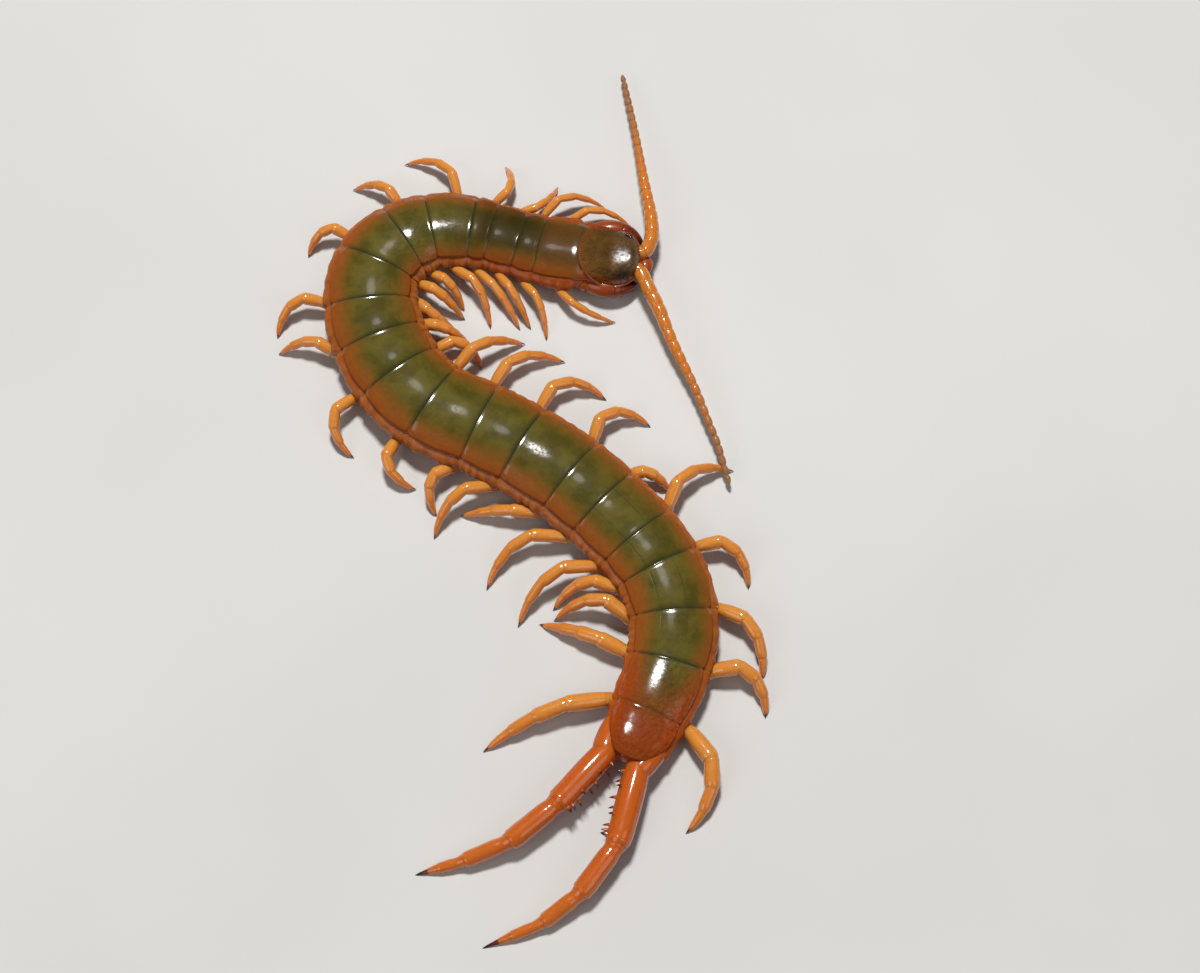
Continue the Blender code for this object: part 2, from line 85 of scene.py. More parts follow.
# A back plate's size along its segment, and the last one's, as (share of the length, size).
PLATE_PROFILE = (
    (0.0, 0.944), (0.03, 0.956), (0.08, 0.968), (0.16, 0.978), (0.3, 0.99), (0.5, 1.0),
    (0.7, 0.997), (0.85, 0.986), (0.95, 0.974), (1.0, 0.967), (1.06, 0.96),
)
TAIL_PROFILE = (
    (0.0, 0.94), (0.04, 0.95), (0.1, 0.962), (0.2, 0.973), (0.4, 0.991), (0.55, 0.995),
    (0.7, 0.972), (0.85, 0.92), (1.0, 0.84), (1.12, 0.75), (1.24, 0.63),
)
# How far the last plate reaches beyond its segment, and how much its height follows its size.
TAIL_REACH = 0.85
TAIL_LEVEL = 0.35
# How far each plate's middle leans back, in degrees, from the first to the last.
PLATE_PITCH = (
    0, -2, -2, -1, 0, 0.3, 4.5, 1, -1, -2, 0.5, -1, -0.8, 1, 2, 3.5, -2.5, -1, 1, -2.5, -3,
)
# Wet, shiny places along the back, as (plate's number + share along it, half length, gloss).
WET_PLACES = (
    (1.1, 0.07, 1.0), (5.3, 0.3, 0.8), (6.25, 0.4, 1.0), (7.05, 0.22, 0.9), (12.4, 0.3, 0.15),
    (14.3, 0.35, 0.3), (20.45, 0.45, 1.0), (21.35, 0.5, 1.0),
)
# The ridge across a plate's front, but for the first: its distance behind the front edge, width
# and height. The ridge near each side: its share across, width and height.
FRONT_RIDGE = (0.24, 0.09, 0.032)
SIDE_RIDGE = (0.93, 0.035, 0.04)
SUTURE_WIDTH = 0.012
SUTURE_DEPTH = 0.01
# How far the corners are drawn in at a plate's front and rear, and the last plate's rear by the
# 2nd and the 6th power of the share across.
CORNER_FRONT = 0.16
CORNER_REAR = 0.28
LAST_REAR = (0.5, 0.9)
# How much a plate's side rolls down against its rear lip, and its thinnest share of thickness.
SIDE_ROLL = 0.8
PLATE_THIN = 0.2
# Where the back's colours change, as runs: plate's number + share along it.
NECK_RUN = (1.6, 2.5)
# SHADE_RUN: where the painted shade over the fore plates fades out.
SHADE_RUN = (4.2, 5.7)
FORE_RUN = (4.2, 6.0)
LEAN_RUN = (3.3, 5.0)
TAIL_RUN = (20.1, 21.6)
ROUGH_RUN = (19.8, 20.4)
# The plates' numbers between which furrows fade out, and sutures come and go.
FURROW_END = (20.3, 21.0)
SUTURE_COLOUR_START = (14.5, 16.0)
SUTURE_COLOUR_END = (18.3, 19.2)
SUTURE_GROOVE_START = (13, 17)

# How far the last plates' middles lean to the left, in millimetres, by segment.
PLATE_ROLL = {20: 0.08, 21: 0.34}
# How far the last plate's shoulders are raised, which flattens its middle, in millimetres.
PLATE_SHOULDERS = {21: 0.6}

# The first plate also reaches fore under the head plate, where its height falls, with its width
# at NECK_SPREAD of that rate.
NECK_REACH = 0.9
NECK_SPREAD = 0.4
NECK_PROFILE = (
    (-0.25, 0.78), (-0.1, 0.85), (0.0, 0.925), (0.05, 0.951), (0.1, 0.958), (0.15, 0.959),
    (0.2, 0.961), (0.35, 0.973), (0.5, 0.986), (0.75, 0.999), (0.9, 0.988), (1.0, 0.97),
    (1.06, 0.96),
)

# The trunk's skin: how far it runs fore of the first segment and aft of the last, the distance
# between its rings, and on its flank the waves, lumps and lengthwise creases, with the creases as
# (sine of the turn, depth). A leg's root swells the flank by a height over a width.
SKIN_FORE = 1.0
SKIN_REACH = 0.3
SKIN_STRIDE = 0.11
SKIN_POINTS = 128
SKIN_WAVE = 0.11
SKIN_LUMP = 0.34
SKIN_CREASES = ((0.22, 1), (-0.12, 0.9), (-0.5, 0.7))
JOINT_PINCH = (0.05, 0.22)
ROOT_SWELLING = (0.3, 0.75)
SPIRACLE_SEGMENTS = (3, 5, 8, 10, 12, 14, 16, 18, 20)
SPIRACLE_SIZES = (0.34, 0.14, 0.1)
SPIRACLE_AHEAD = 0.35
BELLY_SUTURE = 0.45
BELLY_THICKNESS = 0.16

# The head: its capsule's outline and heights, and its shield, an oval round a middle with its
# highest point ahead of that and a thin brim.
HEAD_TOP = 4.05
HEAD_EDGE = 2.4
HEAD_UNDER = 1.75
HEAD_WIDEST = 0.6
HEAD_REAR_NARROWING = 0.16
SHIELD_MIDDLE = 3.0
SHIELD_HALF_LENGTH = 3.0
SHIELD_APEX = (-1.9, -0.35)
SHIELD_POWER = 2.2
SHIELD_REAR_HEIGHT = 3.84
SHIELD_BRIM = 0.07

# The fang base as (fore of the head's rear edge, half width), and the fangs beyond their roots as
# (fore, out, height, radius).
FANG_BASE = (
    (-0.4, 3.0), (0.3, 3.4), (0.9, 3.4), (1.4, 2.7), (1.9, 1.15), (2.5, 0.88), (2.75, 0.6),
)
FANG_BASE_HEIGHTS = (0.35, 2.5)
FANG = (
    (0.9, 2.4, 1.5, 0.7), (1.4, 2.7, 1.55, 0.88), (2.1, 2.9, 1.6, 0.95), (3.2, 3.0, 1.6, 0.9),
    (4.15, 2.85, 1.5, 0.76), (4.9, 2.5, 1.3, 0.56), (5.45, 2.0, 1.12, 0.34), (5.8, 1.55, 1.0, 0.05),
)
# The fangs and their base sit a little to the left of the head's midline.
FANG_SHIFT = 0.2
FANG_JOINTS = (0.5, 0.6)
PALP_JOINTS = (0.4, 0.7)
# The teeth on the base's front edge, out from the middle.
FANG_TEETH = (0.12, 0.27, 0.42, 0.56)

# The last segment's swollen flanks: two places out from the midline and their heights, and the
# thickness from the first place to the collar round the last leg. The trunk's end between them.
TAIL_FLANK_OUT = {"left": (2.0, 2.55), "right": (2.0, 2.0)}
TAIL_FLANK_HEIGHTS = (1.9, 1.95)
TAIL_LOBE_RADII = ((0, 0.5), (0.15, 0.9), (0.4, 1.15), (0.7, 1.24), (0.9, 1.2), (1, 1.1))
TAIL_END_START = 1.2
TAIL_END_LENGTH = 2.1
TAIL_END_HEIGHT = 1.75
TAIL_END_RADIUS = 1.3

# Eyes: four lenses a side, as (fore, up) from a pad's middle at a station and a share across. The
# sizes are half lengths fore, up and out.
EYE_STATION = 1.5
EYE_ACROSS = 0.82
EYE_PAD_SIZES = (0.42, 0.34, 0.05)
LENS_SIZES = (0.13, 0.13, 0.12)
OCELLI = ((0.2, 0.12), (-0.14, 0.15), (0.14, -0.15), (-0.2, -0.1))

# Feelers, by side, with bearings at shares of the length, heights at the root and the tip, and the
# root's place out and fore of the head's front. Some rings lead in from inside the head.
FEELER_LENGTH = {"left": 19.7, "right": 22.4}
FEELER_BEARINGS = {
    "left": ((0.0, 57), (0.05, 68), (0.1, 86), (0.2, 97.5), (0.3, 100.5), (0.44, 98.5), (0.6, 98.7),
             (0.74, 100.7), (1.0, 101.2)),
    "right": ((0.0, -66), (0.15, -64.3), (0.25, -71.2), (0.38, -65), (0.51, -64.7), (0.64, -70.5),
              (0.76, -68), (0.87, -75.6), (1.0, -73.8)),
}
FEELER_RADIUS = (
    (0, 0.7), (0.15, 0.68), (0.3, 0.57), (0.5, 0.44), (0.7, 0.36), (0.9, 0.31), (1, 0.25),
)
FEELER_HEIGHTS = (2.6, 1.1)
FEELER_OFFSET = {"left": 0.86, "right": 0.96}
FEELER_STANDOFF = {"left": 0.14, "right": -0.05}
FEELER_LEAD = 11
FEELER_RINGS_IN_BEAD = 16

# Walking legs, by side from the first segment back, as (sweep of the chord towards the head, reach
# from root to claw tip, curl of the whole leg in plan, lift of the knee).
LEG_POSES = {
    "left": (
        (80, 6.0, -70, 1.4), (58, 6.2, -75, 1.9), (30, 4.8, 60, 0.8), (0, 4.6, 90, 1.4),
        (-55, 6.6, 90, 1.4), (-40, 5.0, 70, 1.4), (-55, 4.2, 110, 1.4), (-30, 5.4, 100, 1.4),
        (25, 5.4, 60, 1.4), (-55, 5.4, 120, 1.4), (-60, 4.6, 120, 1.4), (-5, 4.4, 110, 1.4),
        (20, 7.0, 70, 2.0), (55, 7.0, 10, 1.0), (15, 8.6, 80, 1.4), (5, 9.0, 70, 2.2),
        (15, 6.0, 80, 1.4), (10, 6.8, 80, 2.2), (8, 8.6, 10, 1.2), (-44.5, 12.4, 30, 1.4),
    ),
    "right": (
        (70, 6.2, -50, 1.4), (40, 6.0, 40, 1.4), (50, 6.0, 10, 2.0), (50, 7.0, 20, 1.2),
        (35, 6.6, 50, 1.8), (20, 4.4, 40, 1.4), (2, 5.2, 10, 2.2), (-35, 4.4, -20, 0.8),
        (-35, 4.4, 10, 1.4), (-50, 4.4, 110, 0.8), (-25, 7.2, 50, 2.4), (-40, 7.4, 80, 1.4),
        (-45, 6.4, 110, 1.4), (-30, 5.8, 120, 1.4), (-65, 4.0, 60, 1.2), (-5, 7.6, 80, 1.9),
        (-65, 6.0, 110, 1.4), (-65, 7.6, 80, 1.4), (-25, 6.2, 110, 1.4), (-68, 9.2, 90, 1.4),
    ),
}
LEG_STATION_KNOTS = ((1, 0.45), (5, 0.45), (6, 0.6), (8, 0.85), (20, 0.95))
LEG_TIP_HEIGHT = 0.03
# The coxa, whose end stands off the flank and whose root is sunk in it at the first share.
COXA_LENGTH = 0.45
COXA_STANDOFF = 0.3
COXA_DEPTH = 1.4
COXA_SHARE = -0.2
LEG_STIFFNESS = 0.92
KNEE_RISE = 0.7
LEG_RADIUS_KNOTS = ((1, 0.38), (4, 0.45), (8, 0.56), (17, 0.62), (20, 0.8))
# A leg's thickness beyond its coxa, as (share of the length, share of the leg's radius), and the
# shares at which its articles meet: trochanter, prefemur, femur, tibia, two tarsi and claw.
LEG_SHAPE = (
    (-0.2, 1.05), (-0.1, 1.0), (0.0, 0.93), (0.06, 0.9), (0.14, 0.99), (0.24, 1.02), (0.32, 0.99),
    (0.345, 0.9), (0.37, 0.88), (0.46, 0.92), (0.56, 0.87), (0.585, 0.77), (0.61, 0.75),
    (0.68, 0.76), (0.76, 0.68), (0.785, 0.57), (0.81, 0.54), (0.87, 0.47), (0.92, 0.36),
    (0.955, 0.24), (1.0, 0.10),
)
LEG_JOINTS = (0.0, 0.055, 0.34, 0.58, 0.78, 0.88, 0.955)
# The share of a leg's curl that each of those joints turns by.
LEG_TURNS = (0.0, 0.12, 0.4, 0.26, 0.14, 0.08, 0.0)

# Last legs, as article (length, bearing), by side.
LAST_LEG_ARTICLES = {
    "left": ((7.35, 227.7), (5.4, 218.7), (4.3, 200.8), (4.4, 194)),
    "right": ((8.25, 255.5), (5.3, 233.4), (4.05, 216.5), (5.7, 201)),
}
# Where the last legs' centrelines start, as (out to the left, fore) of the trunk's end.
LAST_LEG_STARTS = {"left": (1.85, 0.35), "right": (-0.85, 0.15)}
LAST_LEG_RADIUS = 1.22
# The centreline's height, as (share of the length, height).
LAST_LEG_HEIGHTS = (
    (0, 2.3), (0.1, 2.42), (0.335, 2.25), (0.47, 2.05), (0.6, 1.72), (0.8, 0.85), (1, 0.03),
)
# Its thickness as (share of the length, share of the radius), where the articles meet at 0.335,
# 0.6 and 0.8 of the table's length.
LAST_LEG_SHAPE = (
    (-0.06, 0.7), (0.0, 0.82), (0.05, 0.93), (0.15, 1.0), (0.25, 0.98), (0.32, 0.93),
    (0.336, 0.86), (0.352, 0.75), (0.4, 0.79), (0.49, 0.8), (0.585, 0.76), (0.60, 0.7),
    (0.615, 0.59), (0.66, 0.62), (0.72, 0.61), (0.79, 0.56), (0.80, 0.51), (0.815, 0.43),
    (0.86, 0.43), (0.91, 0.35), (0.94, 0.23), (0.955, 0.17), (1.0, 0.06),
)
LAST_LEG_JOINTS = (0.0, 0.335, 0.60, 0.80, 0.91, 0.955)
# Its spines, as (share of the length, turn up from the inner side in degrees), and the stout one
# at the first article's end.
LAST_LEG_SPINES = (
    (0.07, 15), (0.1, -20), (0.13, 40), (0.17, 5), (0.2, -22), (0.235, 35), (0.27, -8), (0.3, 15),
)
LAST_LEG_CORNER = (0.318, 20)
STOUT_SPINE = 1.7
# The share of a leg's length at which its claw starts, and how far the leg runs into it.
CLAW_SHARE = 0.955
CLAW_OVERLAP = 0.004

# A thorn's or claw's radius at its tip.
TIP_RADIUS = 0.012

# How finely each piece is cut, as (rings along it, points round a ring), or for the plates as
# (points across, rows along), and the head plate's rings as (over its top, near its brim).
CUT = {
    "back_plate": (46, 60), "belly_plate": (20, 18), "tail_lobe": (44, 26), "tail_end": (30, 26),
    "head_capsule": (44, 48), "socket": (13, 20), "face": (15, 24), "palp": (40, 14),
    "eye_pad": (9, 20), "lens": (13, 20), "fang_base": (40, 48), "fang": (110, 28),
    "leg": (150, 18), "claw": (14, 12), "last_leg": (300, 32), "last_claw": (18, 14),
}
HEAD_PLATE_RINGS = (34, 22)
HEAD_PLATE_POINTS = 144
FEELER_POINTS = 20
# Faces that meet at more than this angle, in degrees, keep a sharp edge.
SHARP_ANGLE = 60

# The stage: lamps as (name, setting that holds the power, share of it, diameter, place) in
# metres, the sky's colour and strength, and the camera's sensor width in millimetres.
LAMPS = (
    ("key", "key_power", 1.0, 0.13, (-0.03, 0.27, 0.74)),
    ("fill_left", "fill_power", 1.0, 0.5, (-0.45, -0.35, 0.5)),
    ("fill_right", "fill_power", 0.6, 0.5, (0.4, -0.3, 0.5)),
)
SKY_COLOUR = (0.9, 0.93, 1.0, 1.0)
SKY_STRENGTH = 0.08
SENSOR_WIDTH = 36
NEAREST_VIEW = 0.01


def smooth(table, at):
    """A smooth curve through a table's (place, value) rows: cubic pieces, each with the slopes
    that its neighbours give it."""
    places, values = np.array(table, float).T
    slopes = np.gradient(values, places)
    at = np.clip(np.asarray(at, float), places[0], places[-1])
    row = np.clip(np.searchsorted(places, at, side="right") - 1, 0, len(places) - 2)
    span = places[row + 1] - places[row]
    t = (at - places[row]) / span
    ends = values[row] * (2 * t**3 - 3 * t**2 + 1) + values[row + 1] * (3 * t**2 - 2 * t**3)
    bends = slopes[row] * (t**3 - 2 * t**2 + t) + slopes[row + 1] * (t**3 - t**2)
    return ends + span * bends


def knots(table, at):
    """A value read off a table of (place, value) rows by straight lines."""
    places, values = zip(*table)
    return np.interp(at, places, values)


def peak(at, middle, width):
    """A bell exp(-((at - middle) / width)^2) round a middle."""
    return np.exp(-(((at - middle) / width) ** 2))


def step(low, high, at):
    """A smooth step 3t^2 - 2t^3 from 0 at low to 1 at high."""
    t = np.clip((at - low) / (high - low), 0, 1)
    return t * t * (3 - 2 * t)


def direction(bearings):
    """Unit vectors (cos, sin, 0) of bearings in degrees."""
    turned = np.radians(bearings)
    return np.stack([np.cos(turned), np.sin(turned), np.zeros_like(turned)], -1)


def unit(vectors):
    """Vectors divided by their lengths."""
    return vectors / np.maximum(np.linalg.norm(vectors, axis=-1, keepdims=True), 1e-12)


def raised(values):
    """Heights as vectors (0, 0, height)."""
    values = np.asarray(values, float)
    return np.stack([np.zeros_like(values), np.zeros_like(values), values], -1)


def ring_turns(count):
    """The angles of a ring's points, evenly spaced and half a space off zero."""
    return 2 * np.pi * (np.arange(count) + 0.5) / count


# The trunk's line: the stations where segments start, and points along it at a small step.
STARTS = HEAD_LENGTH + np.concatenate([[0.0], np.cumsum([length for length, _ in SEGMENTS])])
TRUNK_END = float(STARTS[-1])
MIDDLES = np.array([HEAD_LENGTH / 2, *((STARTS[:-1] + STARTS[1:]) / 2)])
BEARINGS = np.array([HEAD_BEARING, *(bearing for _, bearing in SEGMENTS)], float)
STEP = 0.05
PLAN_STEPS = 400


def walk(bearings, stride, start):
    """Points in plan reached by a stride along each bearing: running sums of cosines and sines."""
    turned = np.radians(np.asarray(bearings, float))
    moves = stride * np.stack([np.cos(turned), np.sin(turned)], 1)
    return np.vstack([start, np.asarray(start) + np.cumsum(moves, 0)])


LINE_STATIONS = np.arange(0.0, TRUNK_END + 2, STEP)
LINE = walk(np.interp(LINE_STATIONS + STEP / 2, MIDDLES, BEARINGS), STEP, START)[:-1]


def midline_at(stations):
    """Points of the midline on the floor, with the directions out to the left and fore."""
    x = np.interp(stations, LINE_STATIONS, LINE[:, 0])
    y = np.interp(stations, LINE_STATIONS, LINE[:, 1])
    before = x - np.minimum(stations, 0) * math.cos(math.radians(HEAD_BEARING + 180))
    beside = y - np.minimum(stations, 0) * math.sin(math.radians(HEAD_BEARING + 180))
    bearings = np.interp(stations, MIDDLES, BEARINGS)
    centre = np.stack([before, beside, np.zeros_like(before)], -1)
    return centre, direction(bearings - 90), direction(bearings + 180)


def segment_place(number, share):
    """The station at a share of a segment's length, segments counted from 1."""
    return STARTS[number - 1] + share * SEGMENTS[number - 1][0]


def segment_number(stations):
    """The number of the segment at a station, with shares between."""
    return np.interp(stations, STARTS, np.arange(len(STARTS)) + 0.5)


def half_width_at(stations):
    """Half the trunk's width, a smooth curve by segment number."""
    return smooth(WIDTH_KNOTS, segment_number(stations)) / 2


def trunk_height(half_widths):
    """The trunk's height, a share of its width."""
    return 2 * half_widths * body().height_to_width


def belly_height():
    """The belly's height over the floor, in millimetres."""
    return body().belly_height / MM


def node_of(number):
    """The name of the trunk solid that holds a segment."""
    return f"trunk_{(number - 1) // SEGMENTS_IN_NODE + 1}"


def side_sign(side):
    """1 on the left and -1 on the right."""
    return 1.0 if side == "left" else -1.0


def body():
    """The settings of the trunk and head."""
    return bpy.context.scene.centipede_body


def limbs():
    """The settings of the legs and feelers."""
    return bpy.context.scene.centipede_limbs


def colours():
    """The settings of the colours."""
    return bpy.context.scene.centipede_colours


# Meshes


def closed(rings, **marks):
    """A closed surface through rings of equally many points: quads between neighbouring rings,
    and each end ring zipped shut from its first and last points towards its middle. Its faces
    are turned round if its volume, the sum of a . (b x c) / 6, is negative."""
    rows, count = rings.shape[:2]
    index = np.arange(rows * count).reshape(rows, count)
    ahead = np.roll(index, -1, axis=1)
    walls = np.stack([index[:-1], ahead[:-1], ahead[1:], index[1:]], -1).reshape(-1, 4)
    i = np.arange(count // 2 - 1)
    front = index[0][np.stack([i, count - 1 - i, count - 2 - i, i + 1], -1)]
    rear = index[-1][np.stack([i, i + 1, count - 2 - i, count - 1 - i], -1)]
    faces = np.vstack([walls, front, rear])
    points = rings.reshape(-1, 3)
    a, b, c, d = (points[faces[:, k]] for k in range(4))
    volume = (a * np.cross(b, c)).sum() + (a * np.cross(c, d)).sum()
    if volume < 0:
        faces = faces[:, ::-1]
    spread = {key: np.broadcast_to(mark, (rows, count)).ravel() for key, mark in marks.items()}
    return points, faces, spread


def make_piece(name, shapes, finish, nodes):
    """One mesh of closed surfaces, in place of the solids that it stands for."""
    starts = np.cumsum([0] + [len(points) for points, _, _ in shapes])
    points = np.vstack([points for points, _, _ in shapes])
    faces = np.vstack([faces + start for (_, faces, _), start in zip(shapes, starts)])
    mesh = bpy.data.meshes.new(name)
    mesh.from_pydata((MM * points).tolist(), [], faces.tolist())
    for key in shapes[0][2]:
        values = np.concatenate([marks[key] for *_, marks in shapes])
        mesh.attributes.new(key, "FLOAT", "POINT").data.foreach_set("value", values)
    mesh.shade_smooth()
    mesh.set_sharp_from_angle(angle=math.radians(SHARP_ANGLE))
    mesh.materials.append(finish)
    obj = bpy.data.objects.new(name, mesh)
    bpy.context.scene.collection.objects.link(obj)
    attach(obj, "root")
    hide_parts(*nodes)


def across_path(path):
    """The unit vectors aside and upward at each point of a path: aside is level, and both are
    square to the path."""
    way = unit(np.gradient(path, axis=0))
    aside = unit(np.cross(way, [0, 0, 1.0]))
    return aside, np.cross(aside, way)


def tube(path, radii, count, flat=1.0, **marks):
    """A tube along a path: each ring is path + radius (cos t aside + flat sin t upward), kept
    above the floor. The mark "above" is sin t."""
    aside, upward = across_path(path)
    turns = ring_turns(count)
    across = (radii[:, None] * np.cos(turns))[..., None] * aside[:, None]
    rise = (flat * radii[:, None] * np.sin(turns))[..., None] * upward[:, None]
    rings = path[:, None] + across + rise
    rings[..., 2] = np.maximum(rings[..., 2], 0.0)
    marks = {key: np.asarray(mark)[:, None] for key, mark in marks.items()}
    return closed(rings, above=np.sin(turns)[None], **marks)


def resampled(path, share, spacing):
    """A path's points at an even spacing along its length, with the share at each."""
    run = np.concatenate([[0], np.cumsum(np.linalg.norm(np.diff(path, axis=0), axis=1))])
    at = np.linspace(0, run[-1], max(int(run[-1] / spacing), 8))
    spaced = np.stack([np.interp(at, run, path[:, k]) for k in range(3)], 1)
    return spaced, np.interp(at, run, share)


def rounded(path, times):
    """A path whose corners are rounded: each point but the ends is replaced, times over, by a
    quarter of its neighbours and half of itself."""
    path = path.copy()
    for _ in range(times):
        path[1:-1] = (path[:-2] + 2 * path[1:-1] + path[2:]) / 4
    return path


def ball(middle, axes, sizes, levels=9, count=14):
    """An ellipsoid: middle + cos v (cos u a + sin u b) + sin v c, with its poles closed."""
    v = np.radians(np.linspace(-86, 86, levels))[:, None, None]
    u = (2 * np.pi * np.arange(count) / count)[None, :, None]
    a, b, c = (np.asarray(axis) * size for axis, size in zip(axes, sizes))
    rings = middle + np.cos(v) * (np.cos(u) * a + np.sin(u) * b) + np.sin(v) * c
    return closed(rings, along=(np.sin(v[..., 0]) + 1) / 2)


def cone(base, tip, radius, bow=None, count=10):
    """A thorn from its sunk root to its tip: radius times (1 - t)^0.8, bowed by bow sin(pi t)."""
    t = np.linspace(0, 1, 9)
    path = base + t[:, None] * (tip - base)
    if bow is not None:
        path = path + np.sin(np.pi * t)[:, None] * bow
    return tube(path, radius * (1 - t) ** 0.8 + TIP_RADIUS, count, along=t)


# Finishes


class Value:
    """A socket that takes part in sums: an expression on values adds its Math nodes, also where
    a plain number comes first, as in 1 - value."""

    def __init__(self, paint, socket):
        self.paint = paint
        self.socket = socket

    def math(self, operation, *values):
        return self.paint.node("ShaderNodeMath", {"operation": operation}, dict(enumerate(values)))

    def __add__(self, other):
        return self.math("ADD", self, other)

    def __radd__(self, other):
        return self.math("ADD", other, self)

    def __sub__(self, other):
        return self.math("SUBTRACT", self, other)

    def __rsub__(self, other):
        return self.math("SUBTRACT", other, self)

    def __mul__(self, other):
        return self.math("MULTIPLY", self, other)

    def __rmul__(self, other):
        return self.math("MULTIPLY", other, self)

    def __truediv__(self, other):
        return self.math("DIVIDE", self, other)

    def __rtruediv__(self, other):
        return self.math("DIVIDE", other, self)

    def __abs__(self):
        return self.math("ABSOLUTE", self)

    def __neg__(self):
        return self.math("MULTIPLY", self, -1.0)


class Paint:
    """A finish under construction: one material and its nodes."""

    def __init__(self, name):
        self.material = bpy.data.materials.new(name)
        self.material.use_nodes = True
        self.tree = self.material.node_tree
        self.shader = self.tree.nodes["Principled BSDF"]

    def node(self, kind, settings, values, output=0):
        """Adds a node: its settings first, then the values or links of its sockets."""
        made = self.tree.nodes.new(kind)
        for key, setting in settings.items():
            setattr(made, key, setting)
        for key, value in values.items():
            if isinstance(value, Value):
                self.tree.links.new(value.socket, made.inputs[key])
            else:
                made.inputs[key].default_value = value
        return Value(self, made.outputs[output])

    def mark(self, name):
        """The mark of that name on the piece's points."""
        return self.node("ShaderNodeAttribute", {"attribute_name": name}, {}, "Fac")

    def noise(self, size, detail=2.0, seed=0.0):
        """Soft random values about one half, in grains of a size in millimetres. A seed moves the
        pattern."""
        place = self.node("ShaderNodeTexCoord", {}, {}, "Object")
        values = {"Vector": place, "Location": (seed, 0.37 * seed, 0)}
        place = self.node("ShaderNodeMapping", {}, values)
        values = {"Vector": place, "Scale": 1 / (size * MM), "Detail": detail}
        return self.node("ShaderNodeTexNoise", {}, values)

    def fade(self, value, low, high, start=0.0, end=1.0):
        """A smooth step of a value from start at low to end at high."""
        values = {0: value, 1: low, 2: high, 3: start, 4: end}
        return self.node("ShaderNodeMapRange", {"interpolation_type": "SMOOTHSTEP"}, values)

    def bell(self, value, middle, width):
        """exp(-((value - middle) / width)^2)."""
        offset = (value - middle) / width
        square = -(offset * offset)
        return square.math("EXPONENT", square)

    def mix(self, first, second, share):
        """The second colour over the first, by a share. Either may be a colour setting."""
        first, second = (
            value if isinstance(value, Value) else (*value, 1.0) for value in (first, second)
        )
        values = {0: share, 6: first, 7: second}
        return self.node("ShaderNodeMix", {"data_type": "RGBA"}, values, 2)

    def shade(self, colour, amount):
        """A colour darkened or lightened by an amount round 1."""
        grey = self.node("ShaderNodeCombineColor", {}, {0: amount, 1: amount, 2: amount})
        settings = {"data_type": "RGBA", "blend_type": "MULTIPLY"}
        return self.node("ShaderNodeMix", settings, {0: 1.0, 6: colour, 7: grey}, 2)

    def bump(self, height, depth, normal=None):
        """Relief of a height of 0 to 1 over a depth in millimetres."""
        values = {"Height": height, "Distance": depth * MM, "Strength": 1.0}
        if normal is not None:
            values["Normal"] = normal
        return self.node("ShaderNodeBump", {}, values)

    def relief(self, grain, depth, detail=2.0, seed=0.0, under=None):
        """Random relief in grains of a size over a depth, both in millimetres."""
        return self.bump(self.noise(grain, detail, seed), depth, under)

    def mottle(self, colour, depth, noise):
        """A colour darkened and lightened by a noise, over a depth round 1."""
        return self.shade(colour, 1 - depth / 2 + depth * noise)

    def done(self, cuticle, colour, roughness, normal=None, gloss=None):
        """Sets the shader: a cuticle's numbers are the same all over, and the rest is linked."""
        for key, value in cuticle.items():
            self.shader.inputs[key].default_value = value
        links = {
            "Base Color": colour, "Roughness": roughness, "Normal": normal, "Coat Weight": gloss,
        }
        for key, value in links.items():
            if value is not None:
                self.tree.links.new(value.socket, self.shader.inputs[key])
        return self.material


CUTICLE = {
    "IOR": 1.45, "Specular IOR Level": 0.28,
    "Coat Weight": 0.55, "Coat Roughness": 0.07, "Coat IOR": 1.5,
    "Subsurface Weight": 0.15, "Subsurface Radius": (1.0, 0.4, 0.12), "Subsurface Scale": 0.0008,
}
# A back plate's gloss is softer, and linked. A limb's thin cuticle lets light through, and so
# does the soft skin, which is less glossy.
PLATE_CUTICLE = {**CUTICLE, "Coat Roughness": 0.13, "Specular IOR Level": 0.04}
LIMB_CUTICLE = {
    **CUTICLE, "Specular IOR Level": 0.12, "Coat Weight": 1.0, "Coat Roughness": 0.09,
    "Coat IOR": 1.65, "Subsurface Weight": 0.6, "Subsurface Scale": 0.0012,
}
SKIN_CUTICLE = {**LIMB_CUTICLE, "Coat Weight": 0.35, "Coat IOR": 1.5}
HEAD_CUTICLE = {**PLATE_CUTICLE, "Coat Roughness": 0.3, "Coat IOR": 1.65}


